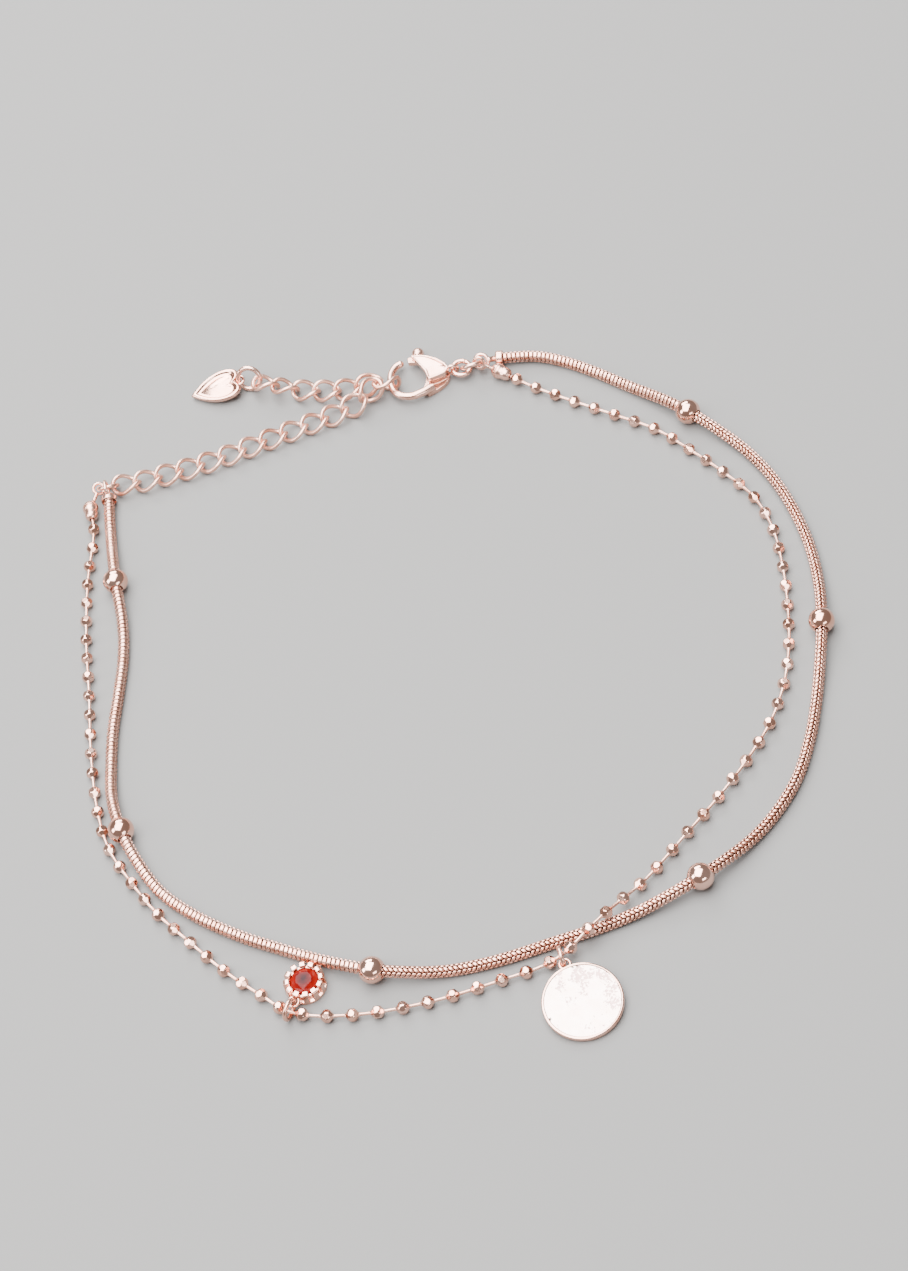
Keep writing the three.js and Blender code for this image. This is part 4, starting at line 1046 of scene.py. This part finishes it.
def make_links(segments=56):
    """Curb links: ovals of wire, each twisted about its long middle line."""
    angles = 2 * math.pi * np.arange(segments) / segments
    twist = -LINK_TWIST * np.cos(angles)
    across = LINK_HALF_WIDTH * np.sin(angles)
    run = np.stack([LINK_HALF_LENGTH * np.cos(angles), across * np.cos(twist),
                    across * np.sin(twist)], 1)
    loop = swept(run, LINK_WIRE / 2, sides=14, closed=True)
    for number in range(1, LINK_COUNT + 1):
        node = f"extender_link_{number:02d}"
        middle, axes = node_axes(node)
        mesh = mesh_of(f"curb_link_{number:02d}", moved(loop, placed(middle, *axes)), [link_gold])
        facing_out(mesh)
        piece(mesh, node)


make_links()


def make_end_caps():
    """A cup on each end of the snake chain, with a neck and a standing loop."""
    rounding = [[CAP_RADIUS - inward, CAP_LENGTH - down] for inward, down in CAP_ROUNDING]
    cup = turned([
        [0, CAP_BORE_DEPTH], [CAP_BORE_RADIUS, CAP_BORE_DEPTH], [CAP_BORE_RADIUS, 0],
        [CAP_RADIUS, 0], *rounding, [0, CAP_LENGTH]])
    for node, distance, sense in (("snake_end_cap_right", 0.0, -1),
                                  ("snake_end_cap_left", snake.length, 1)):
        out = sense * snake.ahead(distance)
        mouth = snake.at(distance) + (CHAIN_END_GAP - CAP_BORE_DEPTH) * out
        middle, (turn, rise) = CAP_LOOPS[node]
        flat = pointing(turn, rise)
        back = mouth + (CAP_LENGTH - CAP_NECK_SINK) * out
        to_cup = back - np.array(middle)
        to_cup = unit(to_cup - (to_cup @ flat) * flat)
        neck_end = np.array(middle) + CAP_LOOP_RADIUS * to_cup
        body = joined(moved(cup, facing(mouth, out)),
                      moved(round_ring(CAP_LOOP_RADIUS, CAP_LOOP_WIRE), facing(middle, flat)),
                      stick(back, neck_end, CAP_NECK_RADIUS))
        bore = stick(mouth - CAP_BORE_OVERRUN * out, mouth + CAP_BORE_DEPTH * out,
                     CAP_BORE_RADIUS, sides=40)
        cast = worked(body, FINDING_DETAIL, [bore])
        mesh = settle(cast, row_matrix(), f"{node}_cup", finding_gold)
        piece(mesh, node)


make_end_caps()


def make_bead_tips():
    """A seamed ball with a shell towards the ball chain, and a strap and loop behind it."""
    back = [pointing(0, latitude) * TIP_RADIUS for latitude in TIP_BACK_LATITUDES]
    floor = TIP_MOUTH - TIP_BORE_DEPTH
    profile = [
        [0, -TIP_RADIUS], *[[x, z] for x, _, z in back],
        *[[TIP_RADIUS - depth, height] for depth, height in TIP_SEAM],
        *[[TIP_RADIUS * share, height] for share, height in TIP_SHOULDER],
        *[[TIP_SHELL_RADIUS * share, height] for share, height in TIP_SHELL],
        [TIP_MOUTH_RADIUS, TIP_MOUTH], [TIP_BORE_RADIUS, TIP_MOUTH], [TIP_BORE_RADIUS, floor],
        [0, floor]]
    for node, distance, sense in (("bead_tip_right", 0.0, -1), ("bead_tip_left", balls.length, 1)):
        away = sense * balls.ahead(distance)
        middle = balls.at(distance) + (TIP_END_GAP - TIP_BORE_DEPTH + TIP_MOUTH) * away
        loop_middle, (turn, rise) = TIP_LOOPS[node]
        flat = pointing(turn, rise)
        to_ball = middle - np.array(loop_middle)
        to_ball = unit(to_ball - (to_ball @ flat) * flat)
        strap_start = np.array(loop_middle) + TIP_LOOP_RADIUS * to_ball
        strap_end = middle + TIP_STRAP_SHARE * (strap_start - middle)
        body = joined(moved(turned(profile), facing(middle, -away)),
                      stick(strap_start, strap_end, TIP_STRAP_WIDTH / 2),
                      moved(round_ring(TIP_LOOP_RADIUS, TIP_LOOP_WIRE), facing(loop_middle, flat)))
        cast = worked(body, TIP_DETAIL, smoothing=2)
        mesh = settle(cast, row_matrix(), f"{node}_shells", finding_gold)
        piece(mesh, node)


make_bead_tips()


def lug(charm_radius, height):
    """A charm's soldered loop, whose hole starts at the charm's edge."""
    return moved(round_ring(LUG_HOLE + LUG_WIRE / 2, LUG_WIRE, segments=48),
                 local((charm_radius + LUG_HOLE, 0, height)))


def make_disc():
    """A thin round disc, its satin face a hair lower than its polished lip."""
    mount = frame["record"]["mounts"][0]
    normal = unit(mount["axis"])
    face = np.array(mount["pos_m"])
    ring_middle = node_axes("disc_jump_ring")[0]
    matrix = standing_on(face, normal, near=ring_middle - face)
    top = DISC_DISH
    low = top - DISC_THICKNESS
    flat_radius = DISC_RADIUS - DISC_LIP
    flat = turned([[flat_radius * i / DISC_FACE_RINGS, 0] for i in range(DISC_FACE_RINGS + 1)],
                  DISC_SIDES)
    rim = turned([
        *[[flat_radius + outward, height] for outward, height in DISC_LIP_STEP],
        *[[DISC_RADIUS - inward, top - down] for inward, down in DISC_FRONT_EDGE],
        *[[DISC_RADIUS - inward, low + up] for inward, up in DISC_BACK_EDGE],
        [0, low]], DISC_SIDES)
    loop = lug(DISC_RADIUS, low + DISC_THICKNESS * DISC_LUG_SHARE)
    shape = joined(flat, rim, loop)
    marks = [0] * len(flat[1]) + [1] * (len(rim[1]) + len(loop[1]))
    mesh = mesh_of("round_disc", moved(shape, matrix), [satin_gold, rim_gold], marks=marks)
    facing_out(mesh)
    mesh.set_sharp_from_angle(angle=math.radians(DISC_SHARP_OVER))
    piece(mesh, "disc_charm")


make_disc()


def gem_frame():
    """Stands the gem on the setting's lowest height, with +X towards its jump ring."""
    stone = node_points("gem_stone")
    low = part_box("gem_setting")[0][2]
    middle = (stone.min(0) + stone.max(0)) / 2
    to_ring = node_axes("gem_jump_ring")[0] - middle
    to_ring[2] = 0
    return standing_on([middle[0], middle[1], low], UP, near=to_ring)


def make_gem_setting():
    """A turned collet with a ring of claws that bend over the stone."""
    claw = plate(curve_through(CLAW_OUTLINE, closed=True, per_span=4), -CLAW_WIDTH / 2, CLAW_WIDTH)
    shapes = [turned(COLLET_PROFILE, sides=72)]
    for number in range(CLAW_COUNT):
        angle = 2 * math.pi * number / CLAW_COUNT
        outward = np.array([math.cos(angle), math.sin(angle), 0])
        shapes.append(moved(claw, local((0, 0, 0), outward, UP, np.cross(outward, UP))))
    shapes.append(lug(COLLET_BASE_RADIUS, GEM_LUG_HEIGHT))
    cast = worked(joined(*shapes), SETTING_DETAIL, smoothing=2)
    mesh = settle(cast, gem_frame(), "claw_setting", setting_gold)
    piece(mesh, "gem_setting")


def make_gem_stone():
    """A round brilliant: table, stars, kites, girdle and pavilion mains down to the culet."""
    corners, starts = [], []
    for count, offset, radius, height in STONE_ROWS:
        starts.append(len(corners))
        for i in range(count):
            angle = 2 * math.pi * (i + offset) / count
            corners.append([radius * math.cos(angle), radius * math.sin(angle), height])
    corners.append([0, 0, STONE_CULET_HEIGHT])
    culet = len(corners) - 1
    table, star, upper, lower, main = starts
    faces = [[table + i for i in range(STONE_FACETS)]]
    for i in range(STONE_FACETS):
        j = (i + 1) % STONE_FACETS
        before, under, after = ((2 * i + k) % (2 * STONE_FACETS) for k in (1, 2, 3))
        faces += [[table + i, star + i, table + j],
                  [star + i, upper + before, upper + under],
                  [star + i, upper + under, star + j, table + j],
                  [star + j, upper + under, upper + after],
                  [lower + before, main + i, lower + under],
                  [lower + under, main + i, culet, main + j],
                  [lower + under, main + j, lower + after]]
    for i in range(2 * STONE_FACETS):
        j = (i + 1) % (2 * STONE_FACETS)
        faces.append([upper + i, lower + i, lower + j, upper + j])
    mesh = mesh_of("cut_red_stone", moved((corners, faces), gem_frame()), [red_stone],
                   smooth=False)
    facing_out(mesh)
    piece(mesh, "gem_stone")


make_gem_setting()
make_gem_stone()


def clasp_matrix():
    """From the clasp's own frame to the part's."""
    ahead = np.array([math.cos(CLASP_TURN), math.sin(CLASP_TURN), 0])
    origin = np.array([*CLASP_EYE_AT, FLOOR_GAP]) - CLASP_LENGTH * ahead
    return placed(in_row(origin), ahead, np.cross(UP, ahead), UP)


def clasp_points(table):
    """A clasp table in millimetres."""
    return np.array([[u * CLASP_LENGTH, v * CLASP_LENGTH, *[h * BODY_HEIGHT / 2 for h in rest]]
                     for u, v, *rest in table])


def make_clasp():
    """The clasp's body: two plates, a wall between them, the hook, the eye and the lever's pin."""
    upper_bottom = PLATE_THICKNESS + CHANNEL_HEIGHT
    shield = clasp_points(SHIELD_OUTLINE)
    middle = clasp_points([FACE_MIDDLE])[0]
    away = np.linalg.norm(shield - middle, axis=1)[:, None]
    inset = middle + (shield - middle) * (away - FACE_RIM) / away
    valley = plate([[-VALLEY_REACH, VALLEY_HEIGHT], [-VALLEY_REACH, VALLEY_SHOULDER],
                    [0, -FACE_DEPTH], [VALLEY_REACH, VALLEY_SHOULDER],
                    [VALLEY_REACH, VALLEY_HEIGHT]], -VALLEY_REACH, 2 * VALLEY_REACH)
    valley = moved(valley, local((*middle, BODY_HEIGHT), (0, 1, 0), (0, 0, 1), (1, 0, 0)))
    recess = crossed(valley, plate(inset, upper_bottom + FACE_FLOOR, FACE_CUT_HEIGHT))
    hook_middle = curve_through(clasp_points(HOOK_ROUTE), per_span=10)
    along = np.linspace(0, 1, len(hook_middle))
    hook_radii = np.interp(along, [0, HOOK_ROOT_SHARE, 1],
                           [HOOK_ROOT_WIRE, HOOK_WIRE, HOOK_WIRE]) / 2
    pivot = clasp_points([PIVOT])[0]
    body = joined(
        plate(shield, upper_bottom, PLATE_THICKNESS),
        plate(clasp_points(LOWER_OUTLINE), 0, PLATE_THICKNESS),
        plate(clasp_points(WALL_OUTLINE), PLATE_THICKNESS - CAST_OVERLAP,
              CHANNEL_HEIGHT + 2 * CAST_OVERLAP),
        swept(hook_middle[:-HOOK_TIP_CUT], hook_radii[:-HOOK_TIP_CUT], sides=24),
        ball(HOOK_WIRE / 2, hook_middle[-HOOK_TIP_BALL]),
        moved(round_ring(EYE_RADIUS, EYE_WIRE, segments=56),
              facing((CLASP_LENGTH, EYE_OFFSET, BODY_HEIGHT / 2), (0, 1, 0))),
        stick([*pivot, PIVOT_START], [*pivot, BODY_HEIGHT - FACE_DEPTH], PIVOT_RADIUS))
    cast = worked(body, FINDING_DETAIL, [recess])
    mesh = settle(cast, clasp_matrix(), "clasp_shield_and_hook", finding_gold)
    piece(mesh, "clasp_body")


def make_lever():
    """The thumb lever: a sheet with its hub and bore, and the knob on its neck."""
    middle = BODY_HEIGHT / 2
    bottom = middle - LEVER_THICKNESS / 2
    pivot, knob, neck = clasp_points([PIVOT, KNOB, KNOB_NECK_START])
    body = joined(
        plate(clasp_points(LEVER_OUTLINE), bottom, LEVER_THICKNESS),
        stick([*pivot, bottom], [*pivot, bottom + LEVER_THICKNESS], HUB_RADIUS, sides=40),
        ball(KNOB_RADIUS, (*knob, bottom + KNOB_LIFT), flat=KNOB_FLATNESS),
        stick([*neck, middle], [*knob, middle - KNOB_NECK_DROP], KNOB_NECK_RADIUS))
    bore = stick([*pivot, LEVER_BORE_FROM], [*pivot, LEVER_BORE_TO],
                 PIVOT_RADIUS + PIVOT_CLEARANCE, sides=32)
    cast = worked(body, FINDING_DETAIL, [bore])
    mesh = settle(cast, clasp_matrix(), "clasp_thumb_lever", finding_gold)
    piece(mesh, "clasp_lever", body="lever")


make_clasp()
make_lever()


def heart_outline():
    """The heart's outline, from its point along one side to the notch and back."""
    curves = np.array(TAG_CURVES) * [TAG_LENGTH, TAG_HALF_WIDTH]
    t = (np.arange(TAG_CURVE_STEPS) / TAG_CURVE_STEPS)[:, None]
    half = np.vstack([(1 - t) ** 3 * a + 3 * (1 - t) ** 2 * t * b + 3 * (1 - t) * t ** 2 * c
                      + t ** 3 * d for a, b, c, d in curves])
    notch = curves[-1][-1:]
    return np.vstack([half, notch, half[1:][::-1] * [1, -1]])


def make_heart_tag():
    """A heart with a rounded rim, a sunk line inside it and a crowned field, and its eye."""
    outline = heart_outline()
    count = len(outline)
    half = TAG_THICKNESS / 2
    section = [*[(share, half * height) for share, height in TAG_RIM], *TAG_FIELD]
    corners = [[*(TAG_MIDDLE + (point - TAG_MIDDLE) * share), height]
               for share, height in section for point in outline]
    faces = grid_faces(len(section), count)
    corners.append([*TAG_MIDDLE, TAG_CROWN])
    last = (len(section) - 1) * count
    faces += [[last + i, last + (i + 1) % count, len(corners) - 1] for i in range(count)]
    corners.append([*TAG_MIDDLE, -half])
    faces += [[(i + 1) % count, i, len(corners) - 1] for i in range(count)]
    eye = moved(round_ring(TAG_EYE_RADIUS, TAG_EYE_WIRE, segments=48), local((TAG_EYE, 0, 0)))
    cast = worked(joined((np.array(corners), faces), eye), TAG_DETAIL, smoothing=4)
    turn = (Matrix.Rotation(math.radians(TAG_TURN), 4, "Z")
            @ Matrix.Rotation(math.radians(TAG_PITCH), 4, "Y")
            @ Matrix.Rotation(math.radians(TAG_ROLL), 4, "X"))
    matrix = np.array(turn) * MM
    matrix[:3, 3] = in_row(TAG_PLACE)
    matrix[3] = [0, 0, 0, 1]
    mesh = settle(cast, matrix, "heart_tag_metal", tag_gold)
    piece(mesh, "heart_tag")


make_heart_tag()


# The stage: floor, light and camera

def make_floor():
    pale = bpy.data.materials.new("pale_floor")
    pale.use_nodes = True
    shader = pale.node_tree.nodes["Principled BSDF"]
    fill(shader, {"Base Color": hue(*FLOOR_TONE), "Roughness": 0.7})
    far = FLOOR_REACH
    shape = ([[-far, -far, 0], [far, -far, 0], [far, far, 0], [-far, far, 0]], [[0, 1, 2, 3]])
    in_scene("floor", mesh_of("floor", shape, [pale], smooth=False))


def make_light(name, place, size, power):
    lamp = bpy.data.lights.new(name, "AREA")
    lamp.shape = "RECTANGLE"
    lamp.size, lamp.size_y = size
    lamp.energy = power
    holder = in_scene(name, lamp)
    holder.location = place
    holder.rotation_euler = (-Vector(place)).to_track_quat("-Z", "Y").to_euler()


def make_world():
    world = bpy.data.worlds.new("studio")
    world.use_nodes = True
    fill(world.node_tree.nodes["Background"], {"Color": hue(*SKY_TONE), "Strength": SKY_STRENGTH})
    bpy.context.scene.world = world


def make_camera():
    camera = bpy.data.cameras.new("camera")
    camera.sensor_width = SENSOR
    camera.lens = FOCAL_PIXELS / IMAGE_HEIGHT * SENSOR
    camera.clip_start, camera.clip_end = 0.01, 20
    holder = in_scene("camera", camera)
    forward = np.array([0, math.cos(CAMERA_DOWN), -math.sin(CAMERA_DOWN)])
    level = np.array([1.0, 0, 0])
    upward = np.cross(level, forward)
    right = math.cos(CAMERA_ROLL) * level - math.sin(CAMERA_ROLL) * upward
    above = math.sin(CAMERA_ROLL) * level + math.cos(CAMERA_ROLL) * upward
    place = (np.array(CAMERA_AT) + [*ROW_SHIFT[:2], 0]) * MM
    holder.matrix_world = Matrix(local(place, right, above, -forward).tolist())
    bpy.context.scene.camera = holder


make_floor()
make_world()
for name, (place, size, power) in SOFTBOXES.items():
    make_light(name, place, size, power)
make_camera()
